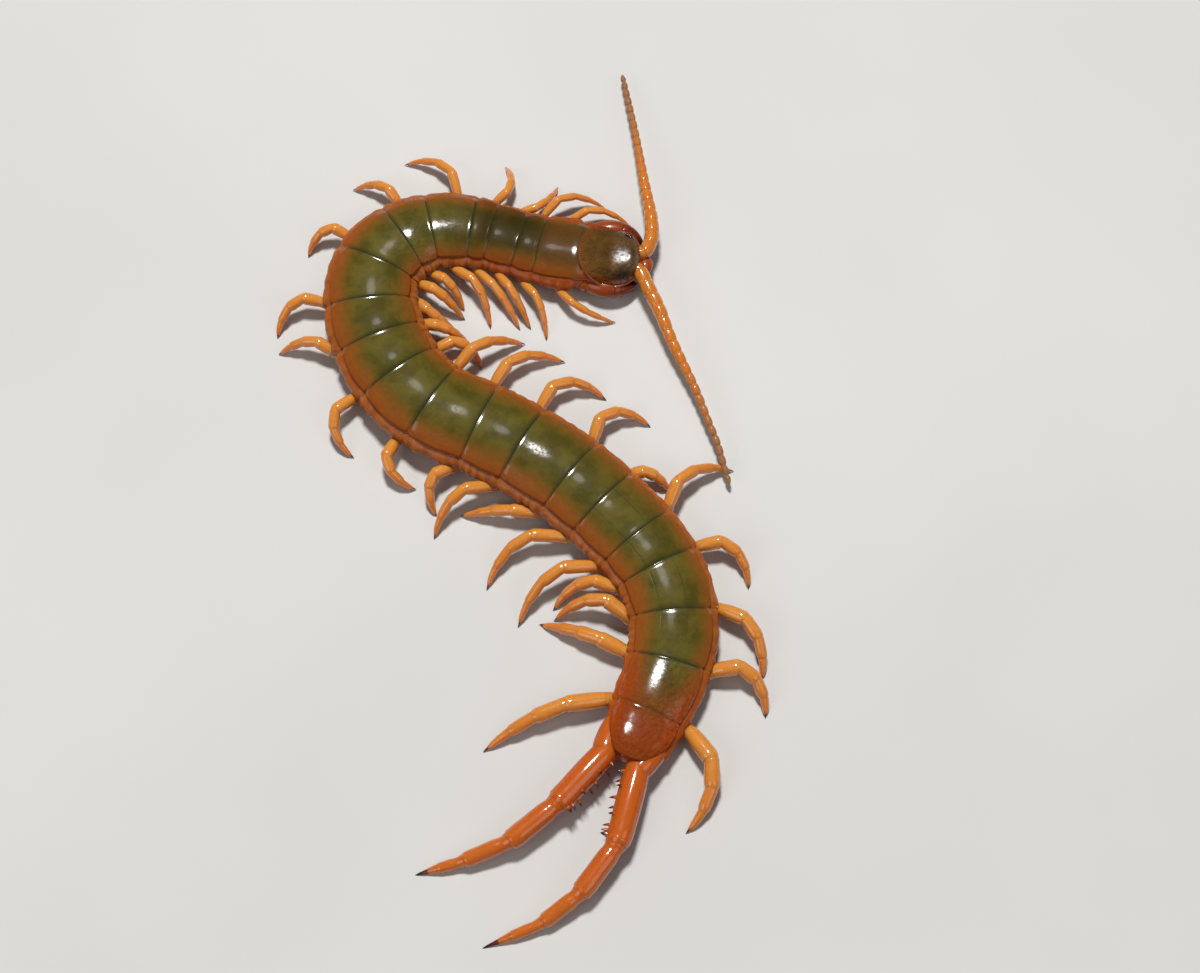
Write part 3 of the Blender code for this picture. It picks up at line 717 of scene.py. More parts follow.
def plate_finish():
    """Olive green over the middle, through brown to orange-brown at the sides, red-brown behind
    the head and orange-brown on the last plate, with painted shade over the fore plates, deeper
    on their left side. It is darker along each furrow, where a dark line is the rear lip's own
    margin and painted shade just beyond that lip, with cloudy mottling, two fine sutures,
    glossy lips and speckled wet places."""
    paint, tint = Paint("back_plate"), colours()
    leftward, along, place = paint.mark("across"), paint.mark("along"), paint.mark("place")
    across = abs(leftward)
    cloud = paint.noise(2.4, 3.0)
    patch = paint.noise(0.9, 3.0, seed=3.0)
    run = place + along
    aft = paint.fade(run + 0.45 * across + 0.15 * leftward, *TAIL_RUN)
    colour = paint.mix(tint.plate, tint.plate_light, paint.fade(cloud, 0.36, 0.64))
    colour = paint.mix(colour, tint.plate_brown, paint.fade(patch, 0.5, 0.75) * 0.25)
    colour = paint.mix(colour, tint.plate_fore, paint.fade(run, *FORE_RUN, 0.8, 0.0))
    beside = paint.fade(along, 0.86, 0.98) + paint.fade(along, 0.03, 0.12, 1.0, 0.0)
    colour = paint.mix(colour, tint.furrow, beside * 0.22)
    lean = paint.fade(run, *LEAN_RUN, -0.22, 0.12) * leftward
    edge = across + lean + 0.24 * (patch - 0.5) + 0.28 * (cloud - 0.5) + 0.3 * aft
    colour = paint.mix(colour, tint.plate_brown, paint.fade(edge, 0.3, 0.58) * 0.85)
    colour = paint.mix(colour, tint.plate_side, paint.fade(edge, 0.47, 0.86))
    colour = paint.mix(colour, tint.tail, paint.fade(edge, 0.8, 1.1) * 0.3)
    neck = paint.fade(run, *NECK_RUN, 0.8, 0.0) * paint.fade(edge, 0.4, 0.85, 1.0, 0.3)
    colour = paint.mix(colour, tint.neck_plate, neck)
    colour = paint.mix(colour, tint.tail_plate, aft)
    colour = paint.mix(colour, tint.tail, aft * paint.fade(across, 0.35, 0.9) * 0.7)
    # Painted shade over the fore plates, deeper on their left side.
    shaded = paint.fade(run, *SHADE_RUN, 1.0, 0.0) * paint.fade(run, *NECK_RUN)
    colour = paint.shade(colour, 1 - shaded * (0.32 + 0.2 * leftward))
    # The furrow's dark line: at the rear, the lip's own dark margin; at the front, painted shade
    # just beyond the previous plate's lip.
    rear = paint.fade(along, 0.955, 0.99) * 0.35
    front = paint.fade(along, 0.045, 0.065, 1.0, 0.0) * 0.85
    middle = paint.fade(across, 0.6, 0.9, 1.0, 0.0)
    line = (rear + front) * middle * paint.fade(place, *FURROW_END, 1.0, 0.2)
    colour = paint.mix(colour, tint.furrow, line)
    clear = paint.fade(place, *SUTURE_COLOUR_START)
    clear = clear * paint.fade(place, *SUTURE_COLOUR_END, 0.5, 0.0)
    suture = paint.bell(across, body().suture_across, SUTURE_WIDTH) * paint.fade(patch, 0.35, 0.6)
    colour = paint.mix(colour, tint.furrow, suture * clear)
    colour = paint.mottle(colour, 0.32, paint.noise(0.5, seed=8.0))
    normal = paint.relief(0.12, 0.006, detail=1.0, seed=5.0)
    normal = paint.relief(0.28, 0.022, seed=9.0, under=normal)
    rough = paint.fade(run, *ROUGH_RUN, 0.05, 1.0) + paint.bell(run, 6.8, 0.6) * 0.7
    normal = paint.bump(paint.noise(0.5, seed=4.0) * rough, 0.22, normal)
    gloss = paint.bell(along, 0.07, 0.04) * paint.fade(place, *FURROW_END, 1.0, 0.0)
    speckle = paint.fade(paint.noise(0.3, 3.0, seed=12.0), 0.36, 0.6, 0.3, 1.0)
    for spot, reach, amount in WET_PLACES:
        gloss = gloss + paint.bell(run, spot, reach) * amount * speckle
    roughness = 0.34 + 0.14 * paint.noise(0.6, seed=2.0)
    return paint.done(PLATE_CUTICLE, colour, roughness, normal, paint.fade(gloss, 0, 1, 0.025, 1))


def belly_finish():
    """Amber plates with a greenish middle, finely pitted."""
    paint, tint = Paint("belly_plate"), colours()
    across, place = abs(paint.mark("across")), paint.mark("place")
    cloud = paint.noise(1.4, 3.0)
    aside = paint.fade(across + 0.4 * (cloud - 0.5), 0.3, 0.9)
    colour = paint.mix(tint.belly, tint.leg, aside)
    colour = paint.mix(colour, tint.tail, paint.fade(place, 19.5, 21.3) * 0.8)
    colour = paint.mottle(colour, 0.3, paint.noise(0.4))
    normal = paint.relief(0.1, 0.006, detail=1.0)
    return paint.done(CUTICLE, colour, 0.28 + 0.14 * cloud, normal)


def flesh_finish():
    """The soft flanks: orange-brown, redder towards the head and the tail, with painted light that
    makes the folds' tops yellowish and lighter and painted shade that darkens the creases."""
    paint, tint = Paint("flank"), colours()
    fold, place = paint.mark("fold"), paint.mark("place")
    cloud = paint.noise(1.1, 3.0)
    # Painted light and shade: lighter and yellower on the folds' tops, darker in the creases.
    high = paint.fade(fold + 0.5 * (cloud - 0.5), 0.15, 0.75)
    colour = paint.mix(tint.flank_crease_shade, tint.flank, high)
    colour = paint.mix(colour, tint.tail, paint.fade(place, 19.2, 21.2) * 0.8)
    colour = paint.mix(colour, tint.fang, paint.fade(place, 2.0, 6.0, 0.7, 0.0))
    colour = paint.mottle(colour, 0.4, paint.noise(0.35, 3.0, seed=4.0))
    wrinkle = paint.noise(0.2, 3.0, seed=6.0)
    return paint.done(SKIN_CUTICLE, colour, 0.32 + 0.2 * wrinkle, paint.bump(wrinkle, 0.04))


def head_finish():
    """Dark olive-brown, red-brown at the rim and rear, almost black at the front corners, with a
    rough gloss over the front and a clear one on the lip."""
    paint, tint = Paint("head_plate"), colours()
    across, along, radius = abs(paint.mark("across")), paint.mark("along"), paint.mark("radius")
    cloud = paint.noise(1.3, 3.0)
    drift = 0.1 * (cloud - 0.5)
    colour = paint.mix(tint.head, tint.head_light, paint.fade(cloud, 0.4, 0.7))
    colour = paint.mix(colour, tint.plate_brown, paint.fade(along, 2.2, 5.4) * 0.3)
    corner = paint.bell(across + drift, 0.76, 0.25) * paint.bell(along, 1.4, 0.85)
    colour = paint.mix(colour, tint.black, corner * 0.95)
    rim = paint.fade(radius + drift, 0.78, 0.95) * paint.fade(along, 3.0, 5.2, 0.9, 0.2)
    colour = paint.mix(colour, tint.head_rim, rim)
    colour = paint.mottle(colour, 0.5, paint.noise(0.4, seed=8.0))
    normal = paint.relief(0.2, 0.13, seed=5.0)
    normal = paint.relief(0.6, 0.28, seed=9.0, under=normal)
    lip = paint.fade(radius, 0.94, 0.96) * paint.fade(along, 4.3, 5.3, 1.0, 0.05)
    speckle = paint.fade(paint.noise(0.3, 3.0, seed=12.0), 0.36, 0.6, 0.35, 1.0)
    gloss = lip + paint.fade(along, 1.9, 3.4, 1.0, 0.02) * speckle
    roughness = 0.3 + 0.14 * paint.noise(0.5, seed=2.0)
    return paint.done(HEAD_CUTICLE, colour, roughness, normal, paint.fade(gloss, 0.0, 1.0))


def mouth_finish():
    """Red-brown, glossy and slightly cloudy: the capsule under the head plate and its palps."""
    paint, tint = Paint("mouthparts"), colours()
    cloud = paint.noise(0.7, 3.0)
    colour = paint.mix(tint.fang, tint.tail, paint.fade(cloud, 0.35, 0.7))
    normal = paint.relief(0.12, 0.012)
    return paint.done(CUTICLE, colour, 0.28 + 0.15 * cloud, normal)


def fang_finish():
    """Red-brown at the root, through dark red to black at the tip, with dark joints."""
    paint, tint = Paint("fang"), colours()
    along = paint.mark("along")
    cloud = paint.noise(0.8, 3.0)
    dark = paint.fade(along + 0.3 * (cloud - 0.5), 0.25, 0.7)
    colour = paint.mix(tint.fang, tint.fang_dark, dark)
    black = paint.fade(along + 0.12 * (cloud - 0.5), 0.74, 0.88)
    colour = paint.mix(colour, tint.black, black)
    colour = paint.mix(colour, tint.black, paint.mark("ring") * 0.5)
    normal = paint.relief(0.12, 0.01)
    return paint.done(CUTICLE, colour, 0.2 + 0.14 * cloud, normal)


def feeler_finish():
    """Amber beads at the root, browner and duller towards the tip, dark in each joint."""
    paint, tint = Paint("feeler"), colours()
    along, ring = paint.mark("along"), paint.mark("ring")
    cloud = paint.noise(0.5)
    worn = paint.fade(along + 0.3 * (cloud - 0.5), 0.3, 1.0)
    colour = paint.mix(tint.feeler, tint.feeler_tip, worn)
    colour = paint.mix(colour, tint.fang_dark, ring * paint.fade(along, 0.1, 0.7, 0.06, 0.4))
    colour = paint.mottle(colour, 0.4, cloud)
    down = paint.noise(0.05, 1.0, seed=3.0)
    normal = paint.bump(down * paint.fade(along, 0.25, 0.4), 0.015)
    roughness = paint.fade(along, 0.22, 0.45, 0.24, 0.45) + 0.1 * cloud
    gloss = paint.fade(along, 0.2, 0.45, 1.0, 0.3)
    return paint.done(LIMB_CUTICLE, colour, roughness, normal, gloss)


def leg_finish(name, base, light, dark, tip):
    """Translucent amber, lighter in the middle of each article, with painted light over the upper
    side and painted shade underneath in the dark colour, which also makes a thin ring at each
    joint, with two dots at each joint and another colour towards the claw."""
    paint = Paint(name)
    spot = colours().fang_dark
    ring, above, along = paint.mark("ring"), paint.mark("above"), paint.mark("along")
    cloud = paint.noise(0.8, 3.0)
    # Painted light and shade: the upper side lighter and the underside darker, broken by mottling.
    lit_tone = above + 0.7 * (cloud - 0.5)
    colour = paint.mix(dark, base, paint.fade(lit_tone, -0.4, 0.4))
    colour = paint.mix(colour, light, paint.fade(lit_tone, 0.3, 0.95) * 0.7)
    colour = paint.mix(colour, tip, paint.fade(along, 0.3, 0.85) * 0.8)
    colour = paint.mix(colour, dark, paint.fade(ring, 0.4, 1.0) * 0.3)
    dots = paint.bell(above, 0.35, 0.16) * paint.fade(ring, 0.6, 0.98)
    colour = paint.mix(colour, spot, dots * 0.6)
    colour = paint.mix(colour, spot, paint.fade(along, 0.92, 0.97) * 0.5)
    colour = paint.mottle(colour, 0.24, paint.noise(0.3, seed=7.0))
    normal = paint.relief(0.12, 0.003, seed=5.0)
    normal = paint.relief(0.5, 0.014, seed=1.0, under=normal)
    return paint.done(LIMB_CUTICLE, colour, 0.3 + 0.14 * cloud, normal)


def spine_finish():
    """Orange-red at the root, through dark red to nearly black at the point."""
    paint, tint = Paint("spine"), colours()
    along = paint.mark("along")
    cloud = paint.noise(0.3)
    dark = paint.fade(along + 0.2 * (cloud - 0.5), 0.4, 0.7)
    colour = paint.mix(tint.last_leg, tint.fang_dark, dark)
    colour = paint.mix(colour, tint.black, paint.fade(along, 0.6, 0.8) * 0.85)
    return paint.done(CUTICLE, colour, 0.22 + 0.15 * cloud)


def claw_finish():
    """Red-brown where it leaves the leg, black over most of its length."""
    paint, tint = Paint("claw"), colours()
    along = paint.mark("along")
    cloud = paint.noise(0.3)
    dark = paint.fade(along + 0.3 * (cloud - 0.5), 0.2, 0.7)
    colour = paint.mix(tint.fang_dark, tint.black, dark)
    return paint.done(CUTICLE, colour, 0.2 + 0.15 * cloud)


def eye_finish():
    """Black lenses with a faint brown depth."""
    paint, tint = Paint("eye"), colours()
    cloud = paint.noise(0.2)
    colour = paint.mix(tint.black, tint.fang_dark, cloud * 0.12)
    return paint.done(CUTICLE, colour, 0.06 + 0.05 * cloud)


def floor_finish():
    """Pale, matt and faintly mottled."""
    paint, tint = Paint("floor"), colours()
    cloud = paint.noise(60.0, 3.0)
    colour = paint.mix(tint.floor, tint.floor_shade, paint.fade(cloud, 0.3, 0.7))
    return paint.done({"IOR": 1.45}, colour, 0.75 + 0.1 * cloud)


# Trunk


def trunk_surface(stations, turns, sizes, levels, half_widths):
    """The back's arc at stations: out = half width sin(turn) times the size, and height = edge +
    (height - edge) cos(turn)^0.85 times the level, over a belly that sags as the level falls."""
    centre, left, _ = midline_at(stations)
    height = trunk_height(half_widths)
    edge = PLATE_EDGE_HEIGHT * height
    out = half_widths * np.sin(turns) * sizes
    dome = np.maximum(np.cos(turns), 1e-6) ** DORSAL_ROUNDNESS
    rise = (edge + (height - edge) * dome) * levels
    sag = belly_height() + (1 - levels) * BELLY_SAG
    return centre + left * out[..., None] + raised(sag + rise)


def two_sheets(upper, under, marks):
    """A closed plate of an upper and an under sheet: each row of the one and, backwards, of the
    other makes one loop."""
    rings = np.concatenate([upper, under[:, ::-1]], axis=1)
    doubled = {key: np.concatenate([mark, mark[:, ::-1]], axis=1) for key, mark in marks.items()}
    return closed(rings, **doubled)


def shell(top, thickness, marks):
    """A closed plate whose upper sheet is the grid, and whose lower sheet lies under it by the
    thickness along the grid's normals."""
    normal = unit(np.cross(np.gradient(top, axis=1), np.gradient(top, axis=0)))
    return two_sheets(top, top - normal * thickness[..., None], marks)


def plate_grid(columns, rows, suture):
    """Shares across (-1 to 1), closer at the sutures and rims, and along (0 to 1), closer at
    the ends."""
    quarter = np.pi / 2 * 0.86
    across = np.sin(np.linspace(-1, 1, columns) * quarter) / math.sin(quarter)
    fine = np.linspace(-0.03, 0.03, 7)
    across = np.unique(np.concatenate([across, suture + fine, -suture + fine]).round(4))
    along = (1 - np.cos(np.linspace(0, np.pi, rows))) / 2
    return np.meshgrid(across, along)


def rolled(radius, distance):
    """How far an edge is rolled down at a distance from it: radius - sqrt(radius^2 - (radius -
    distance)^2) within a radius, and 0 beyond."""
    return radius - np.sqrt(np.maximum(radius**2 - np.maximum(radius - distance, 0) ** 2, 0))


def back_plate(number):
    """One back plate: the back's arc with the size of the plate's profile along its segment, and
    for the first a width that falls at a share of that rate. Its corners are drawn in by the 8th
    power of the share across u, or the last one's by the 2nd and 6th. With s the share along,
    its middle is leaned back by its pitch times (1/2 - s) (1 - (2s - 1)^4) and raised by its
    roll u + shoulders u^2 (1 - u^2), all times 1 - u^2. Its rear lip and sides are rolled down,
    two sutures are sunk as bells, and low ridges run near each side and across the front."""
    settings = body()
    first, last = number == 1, number == COUNT
    across, along = plate_grid(*CUT["back_plate"], settings.suture_across)
    aside = np.abs(across)
    length = SEGMENTS[number - 1][0]
    neck = NECK_REACH if first else 0.0
    reach = neck + length + (TAIL_REACH if last else settings.lip_overlap / MM)
    square, sixth = LAST_REAR
    corner = square * across**2 + sixth * across**6 if last else CORNER_REAR * across**8
    front = CORNER_FRONT * across**8
    stations = STARTS[number - 1] - neck + front + along * (reach - front - corner)
    from_front = along * reach - neck
    share = from_front / length
    profile = {1: NECK_PROFILE, COUNT: TAIL_PROFILE}.get(number, PLATE_PROFILE)
    sizes = smooth(profile, share)
    levels = 1 - TAIL_LEVEL * (1 - sizes) if last else sizes
    sizes = 1 - NECK_SPREAD * (1 - sizes) if first else sizes
    half = half_width_at(np.clip(stations, STARTS[0], TRUNK_END))
    top = trunk_surface(stations, across * settings.plate_spread, sizes, levels, half)
    roll = settings.plate_thickness / MM
    drop = rolled(roll, (1 - along) * reach)
    drop = drop + SIDE_ROLL * rolled(roll, (1 - aside) * half * settings.plate_spread)
    grooved = step(*SUTURE_GROOVE_START, number) * step(0.03, 0.2, along) * (number < COUNT - 1)
    drop = drop + SUTURE_DEPTH * peak(aside, settings.suture_across, SUTURE_WIDTH) * grooved
    place, wide, high = SIDE_RIDGE
    drop = drop - high * peak(aside, place, wide) * step(0.05, 0.3, along)
    to_side = step(0, 0.3, 1 - aside)
    behind, wide, high = FRONT_RIDGE
    drop = drop - high * (not first) * peak(from_front, behind, wide) * to_side
    pitch = math.tan(math.radians(PLATE_PITCH[number - 1])) * length
    lean = pitch * (0.5 - share) * np.maximum(1 - (2 * share - 1) ** 4, 0)
    roll_left = PLATE_ROLL.get(number, 0) * across
    shoulders = PLATE_SHOULDERS.get(number, 0) * across**2 * (1 - across**2)
    top = top - raised(drop) + raised((lean + roll_left + shoulders) * (1 - across**2))
    thickness = roll * (PLATE_THIN + (1 - PLATE_THIN) * to_side * step(0, 0.06, along))
    shown = np.clip(share, 0.12 if first else 0.0, 1)
    return shell(top, thickness, {"across": across, "along": shown, "place": number + 0 * across})


def belly_plate(number):
    """One belly plate: across u it is flat with its sides turned up, out = u times its half width
    and height falling by 0.12 (1 - u^4), with low ridges over two sutures and at both ends."""
    across, along = plate_grid(*CUT["belly_plate"], BELLY_SUTURE)
    length = SEGMENTS[number - 1][0]
    stations = STARTS[number - 1] + 0.05 + along * (length - 0.1)
    stations = stations - 0.2 * across**6 * (2 * along - 1)
    half = half_width_at(np.clip(stations, STARTS[0], TRUNK_END))
    narrowing = 1 - (0.45 if number == COUNT else 0.06) * along**2
    centre, left, _ = midline_at(stations)
    rise = belly_height() + 0.1 - 0.12 * (1 - across**4)
    rise = rise + 0.03 * peak(np.abs(across), BELLY_SUTURE, 0.03)
    rise = rise + 0.05 * peak(along, 0, 0.08) + 0.05 * peak(along, 1, 0.08)
    outward = across * 0.66 * half * narrowing
    under = centre + left * outward[..., None] + raised(rise)
    marks = {"across": across, "along": along, "place": number + 0 * across}
    return two_sheets(under + raised(BELLY_THICKNESS + 0 * across), under, marks)


def leg_root(number, side):
    """Where a leg meets the flank, with the flank's normal and the ways out and fore there."""
    station = segment_place(number, knots(LEG_STATION_KNOTS, number))
    centre, left, fore = midline_at(station)
    out = side_sign(side) * left
    half = half_width_at(station)
    height = trunk_height(half)
    (wide, high), (middle, level), (narrow, low) = FLANK
    slope = unit(np.array([(wide - narrow) * half, (high - low) * height]))
    normal = out * slope[1] - raised(slope[0])
    surface = centre + out * middle * half + raised(belly_height() + level * height)
    return surface, normal, out, fore


def trunk_skin():
    """The soft body inside the plates. Its section is a rounded box, out = half width |cos|^0.9
    and height = edge + rise |sin|^0.85 above, and |cos|^0.72 and |sin|^0.8 below the plates'
    edges. It is pulled in at each joint between segments by a bell. The flank has fine waves,
    lumps and lengthwise creases, and swells round each leg's root. The trunk tapers a little at
    its fore end, over its last 6 mm and, by a square root, at its tip."""
    end = TRUNK_END + SKIN_REACH
    stations = np.arange(HEAD_LENGTH - SKIN_FORE, end, SKIN_STRIDE)[:, None]
    turns = ring_turns(SKIN_POINTS)[None]
    cosine, sine = np.cos(turns), np.sin(turns)
    half = half_width_at(stations)
    height = trunk_height(half)
    edge = PLATE_EDGE_HEIGHT * height
    squared = np.where(sine < 0, 0.72, 0.9)
    width = 1.11 - 0.22 * step(-0.15, 0.4, sine) + 0.1 * step(14, 6, stations) * (sine < 0.3)
    out = width * half * np.sign(cosine) * np.abs(cosine) ** squared
    upper = 0.76 * (height - edge) * np.abs(sine) ** DORSAL_ROUNDNESS
    lower = -0.93 * edge * np.abs(sine) ** 0.8
    rise = edge + np.where(sine > 0, upper, lower)
    number = segment_number(stations) + 0.5
    from_joint = np.abs(number - np.round(number)) * half
    depth, reach = JOINT_PINCH
    pinch = depth * peak(from_joint, 0, reach)
    crease = sum(depth * peak(sine, height, 0.06) for height, depth in SKIN_CREASES)
    wave = np.sin(2 * np.pi * stations / 0.74 + 5 * sine + 2 * np.sin(stations))
    wave = wave + 0.6 * np.sin(2 * np.pi * stations / 0.31 - 7 * sine)
    drift = np.sign(cosine) + 3 * np.sin(0.9 * stations)
    lump = np.sin(2 * np.pi * stations / 1.37 + 3 * sine + drift)
    fold = SKIN_WAVE * wave + SKIN_LUMP * lump - crease * (0.6 + 0.4 * np.sin(stations * 2.3))
    fold = peak(sine, -0.35, 0.5) * fold
    tip = 0.55 + 0.45 * np.sqrt(step(0, 1.2, end - stations))
    aft = np.where(stations > TRUNK_END - 6, step(-4, 5, TRUNK_END - stations) ** 0.2, 1)
    fore_end = 0.8 + 0.2 * step(-1.0, 0.8, stations - HEAD_LENGTH)
    size = (1 - pinch + 0.04 * fold) * tip * aft * fore_end
    centre, left, _ = midline_at(stations)
    rise = belly_height() + 0.1 + edge + (rise - edge) * size
    points = centre + left * (out * size)[..., None] + raised(rise)
    swelling, reach = ROOT_SWELLING
    for side in SIDES:
        for leg in range(1, COUNT):
            surface, normal, _, _ = leg_root(leg, side)
            gap = np.linalg.norm(points - surface, axis=-1)
            points = points + swelling * peak(gap, 0, reach)[..., None] * normal
    return closed(points, fold=0.5 + 0.4 * fold, place=number + 0 * turns)


def spiracle(number, side):
    """A breathing slit: a dark lens on the flank ahead of the leg, long along the body."""
    root = segment_place(number, knots(LEG_STATION_KNOTS, number))
    centre, left, fore = midline_at(root - SPIRACLE_AHEAD * SEGMENTS[number - 1][0])
    out = side_sign(side) * left
    half = half_width_at(segment_place(number, 0.5))
    middle = centre + out * 0.93 * half + raised(0.5 + 0.36 * trunk_height(half))
    up = unit(np.cross(fore, out))
    return ball(middle, (fore, up * np.sign(up[2]), out), SPIRACLE_SIZES)


def tail_lobe(side):
    """The swollen flank of the last segment, out to a collar round the last leg's root: a tube on
    a quadratic curve, (1 - t)^2 a + 2 t (1 - t) b + t^2 c, with its radius read off a table."""
    rings, points = CUT["tail_lobe"]
    t = np.linspace(0, 1, rings)[:, None]
    centre, left, _ = midline_at(segment_place(COUNT, np.array([0.0, 0.62])))
    collar = last_leg_path(side, np.array([0.06]))
    outward = side_sign(side) * left * np.array(TAIL_FLANK_OUT[side])[:, None]
    flank = centre + outward + raised(TAIL_FLANK_HEIGHTS)
    path = (1 - t) ** 2 * flank[:1] + 2 * t * (1 - t) * flank[1:] + t**2 * collar
    radii = smooth(TAIL_LOBE_RADII, t[:, 0])
    return tube(path, radii, points, along=0.3 * t[:, 0], ring=0 * t[:, 0])


def tail_end():
    """The end of the trunk between the last legs' roots, under the last back plate: a flattened
    tube aft along the midline whose radius falls by sqrt(1 - t^3)."""
    rings, points = CUT["tail_end"]
    t = np.linspace(0, 1, rings)
    centre, left, _ = midline_at(TRUNK_END - TAIL_END_START + TAIL_END_LENGTH * t)
    path = centre + left * 0.5 + raised(TAIL_END_HEIGHT + 0 * t)
    radii = TAIL_END_RADIUS * np.sqrt(np.clip(1.002 - t**3, 0, 1))
    return tube(path, radii, points, flat=0.8, along=0.3 * t, ring=0 * t)


def tail_spines(side):
    """A spined point on the inner side of the last segment's flank, with two small spines, and
    three more along its outer side."""
    root, ahead = last_leg_path(side, np.array([0.0, 0.04]))
    way = unit(ahead - root)
    inward = np.cross([0, 0, side_sign(side)], way)
    base = root + inward * 0.6 - raised(0.35)
    tip = base + way * 1.5 + inward * 0.1
    shapes = [cone(base, tip, 0.4)]
    for back, rise in ((0.5, 0.15), (0.75, -0.12)):
        place = base + (tip - base) * back
        shapes.append(cone(place, place + inward * 0.3 + way * 0.28 + raised(rise), 0.13))
    for back in (-0.5, 0.0, 0.5):
        place = root + way * back - inward * 0.95 + raised(0.05)
        shapes.append(cone(place, place - inward * 0.3 + way * 0.25, 0.16))
    return shapes


# Head


def head_half():
    """Half the head's greatest width, in millimetres."""
    return body().head_width / MM / 2


def head_half_width(share):
    """Half the head's width: W (1 - (1 - s / s0)^2.3)^0.48 up to its widest share s0, then
    narrowing by the square of the share behind it."""
    half = head_half()
    share = np.asarray(share, float)
    front = half * (1 - (1 - np.clip(share / HEAD_WIDEST, 0, 1)) ** 2.3) ** 0.48
    behind = np.clip((share - HEAD_WIDEST) / (1 - HEAD_WIDEST), 0, 1.2)
    return np.where(share < HEAD_WIDEST, front, half * (1 - HEAD_REAR_NARROWING * behind**2))


def head_fullness(half):
    """How much of its full height a section has: a quarter sine of its width, 1 from 0.9 on."""
    return np.sin(np.pi / 2 * np.clip(half / (0.9 * head_half()), 0, 1))


def shield_share(behind, out):
    """The share r of the way from the shield's highest point out to its rim. Rings shrink towards
    that point, so r is |x / a|^2.2 + |y / b|^2.2 to the power 1 / 2.2 of the place less (1 - r) of
    the point. It is found by repeating that."""
    half = head_half()
    r = np.full(np.broadcast(behind, out).shape, 0.5)
    for _ in range(24):
        aft = np.abs(behind - (1 - r) * SHIELD_APEX[0]) / SHIELD_HALF_LENGTH
        aside = np.abs(out - (1 - r) * SHIELD_APEX[1]) / half
        r = (aft**SHIELD_POWER + aside**SHIELD_POWER) ** (1 / SHIELD_POWER)
    return r


def shield_height(behind, out):
    """The shield's height at a place behind its middle and out from the midline. With r, the share
    of the way to the brim, it is rim + (top - rim) (1 - r^2.2)^0.6. The brim beyond is slightly
    rounded. It climbs and thins away from the sides to the rear, over the first plate."""
    r = shield_share(behind, out)
    climb = step(-0.1, 1.0, behind / SHIELD_HALF_LENGTH)
    rim = HEAD_EDGE + (SHIELD_REAR_HEIGHT - HEAD_EDGE) * climb
    brim = SHIELD_BRIM * (1.05 - climb)
    inside = np.maximum(1 - (r / (1 - brim)) ** 2.2, 0)
    across_brim = np.maximum(r - 1 + brim, 0) / brim
    return rim + (HEAD_TOP - rim) * inside**0.6 - 0.03 * across_brim**2


def head_plate():
    """The head's shield: rings of an oval |x / a|^2.2 + |y / b|^2.2 = 1 that shrink towards its
    highest point, which lies ahead of the middle and to the right, out to the brim, over its
    rounded lip and back under."""
    turns = ring_turns(HEAD_PLATE_POINTS)[None]
    power = 2 / SHIELD_POWER
    cosine, sine = np.cos(turns), np.sin(turns)
    half = head_half()
    coarse, fine = HEAD_PLATE_RINGS
    r = np.concatenate([np.linspace(0.01, 0.86, coarse), np.linspace(0.875, 1.0, fine)])[:, None]
    behind = r * SHIELD_HALF_LENGTH * np.sign(cosine) * np.abs(cosine) ** power
    behind = behind + (1 - r) * SHIELD_APEX[0]
    out = r * half * np.sign(sine) * np.abs(sine) ** power + (1 - r) * SHIELD_APEX[1]
    top = np.stack([behind, out, shield_height(behind, out)], -1)
    rim = top[-1:] + unit(top[-1:] * [1, 1, 0]) * 0.03
    under = top[::-2] - raised(0.15)
    local = np.concatenate([top, rim - raised(0.04), rim - raised(0.1), under])
    centre, left, _ = midline_at(SHIELD_MIDDLE + local[..., 0])
    points = centre + left * local[..., 1:2] + raised(local[..., 2])
    radius = np.concatenate([r, r[-1:], r[-1:], r[::-2]])
    across, along = local[..., 1] / half, SHIELD_MIDDLE + local[..., 0]
    return closed(points, across=across, along=along, radius=radius + 0 * across)


def head_capsule():
    """The capsule under the shield: rings a little inside it above the edge, fuller towards the
    rear, and narrower and rounder below."""
    sections, points = CUT["head_capsule"]
    share = 0.006 + 0.98 * np.linspace(0, 1, sections)[:, None] ** 1.5
    half = head_half_width(share)
    full = head_fullness(half)
    centre, left, _ = midline_at(share * HEAD_LENGTH)
    turns = ring_turns(points)[None]
    cosine, sine = np.cos(turns), np.sin(turns)
    rear = step(0.45, 0.9, share)
    above = (0.4 + 0.42 * rear) * (HEAD_TOP - HEAD_EDGE) * full * np.abs(sine) ** (1 - 0.4 * rear)
    below = -(HEAD_EDGE - HEAD_UNDER) * full * np.abs(sine)
    inset = np.where(sine > 0, 0.95, 0.97 - 0.25 * np.minimum(1, -2 * sine))
    rings = centre + left * (half * cosine * inset)[..., None]
    rings = rings + raised(HEAD_EDGE - 0.06 + np.where(sine > 0, above, below))
    return closed(rings, along=share, ring=0 * share)


def palp(side):
    """A slim jointed palp between the fangs: a tube forward under the head, bowed outwards by
    0.95 sin(pi t)^1.2, waisted at two joints and round at its end."""
    rings, points = CUT["palp"]
    t = np.linspace(0, 1, rings)
    centre, left, fore = midline_at(HEAD_LENGTH)
    out = side_sign(side) * (0.27 + 0.95 * np.sin(np.pi * t) ** 1.2)
    path = centre + fore * (2.9 + 3.9 * t)[:, None] + left * out[:, None]
    path = path + raised(1.5 + 0.1 * t)
    ring = joint_marks(t, PALP_JOINTS, 0.02)
    radii = (0.3 - 0.1 * t) * (1 - 0.2 * ring) * np.sqrt(np.clip(1.02 - t, 0, 0.05) / 0.05)
    return tube(path, radii + 0.01, points, along=t, ring=ring)


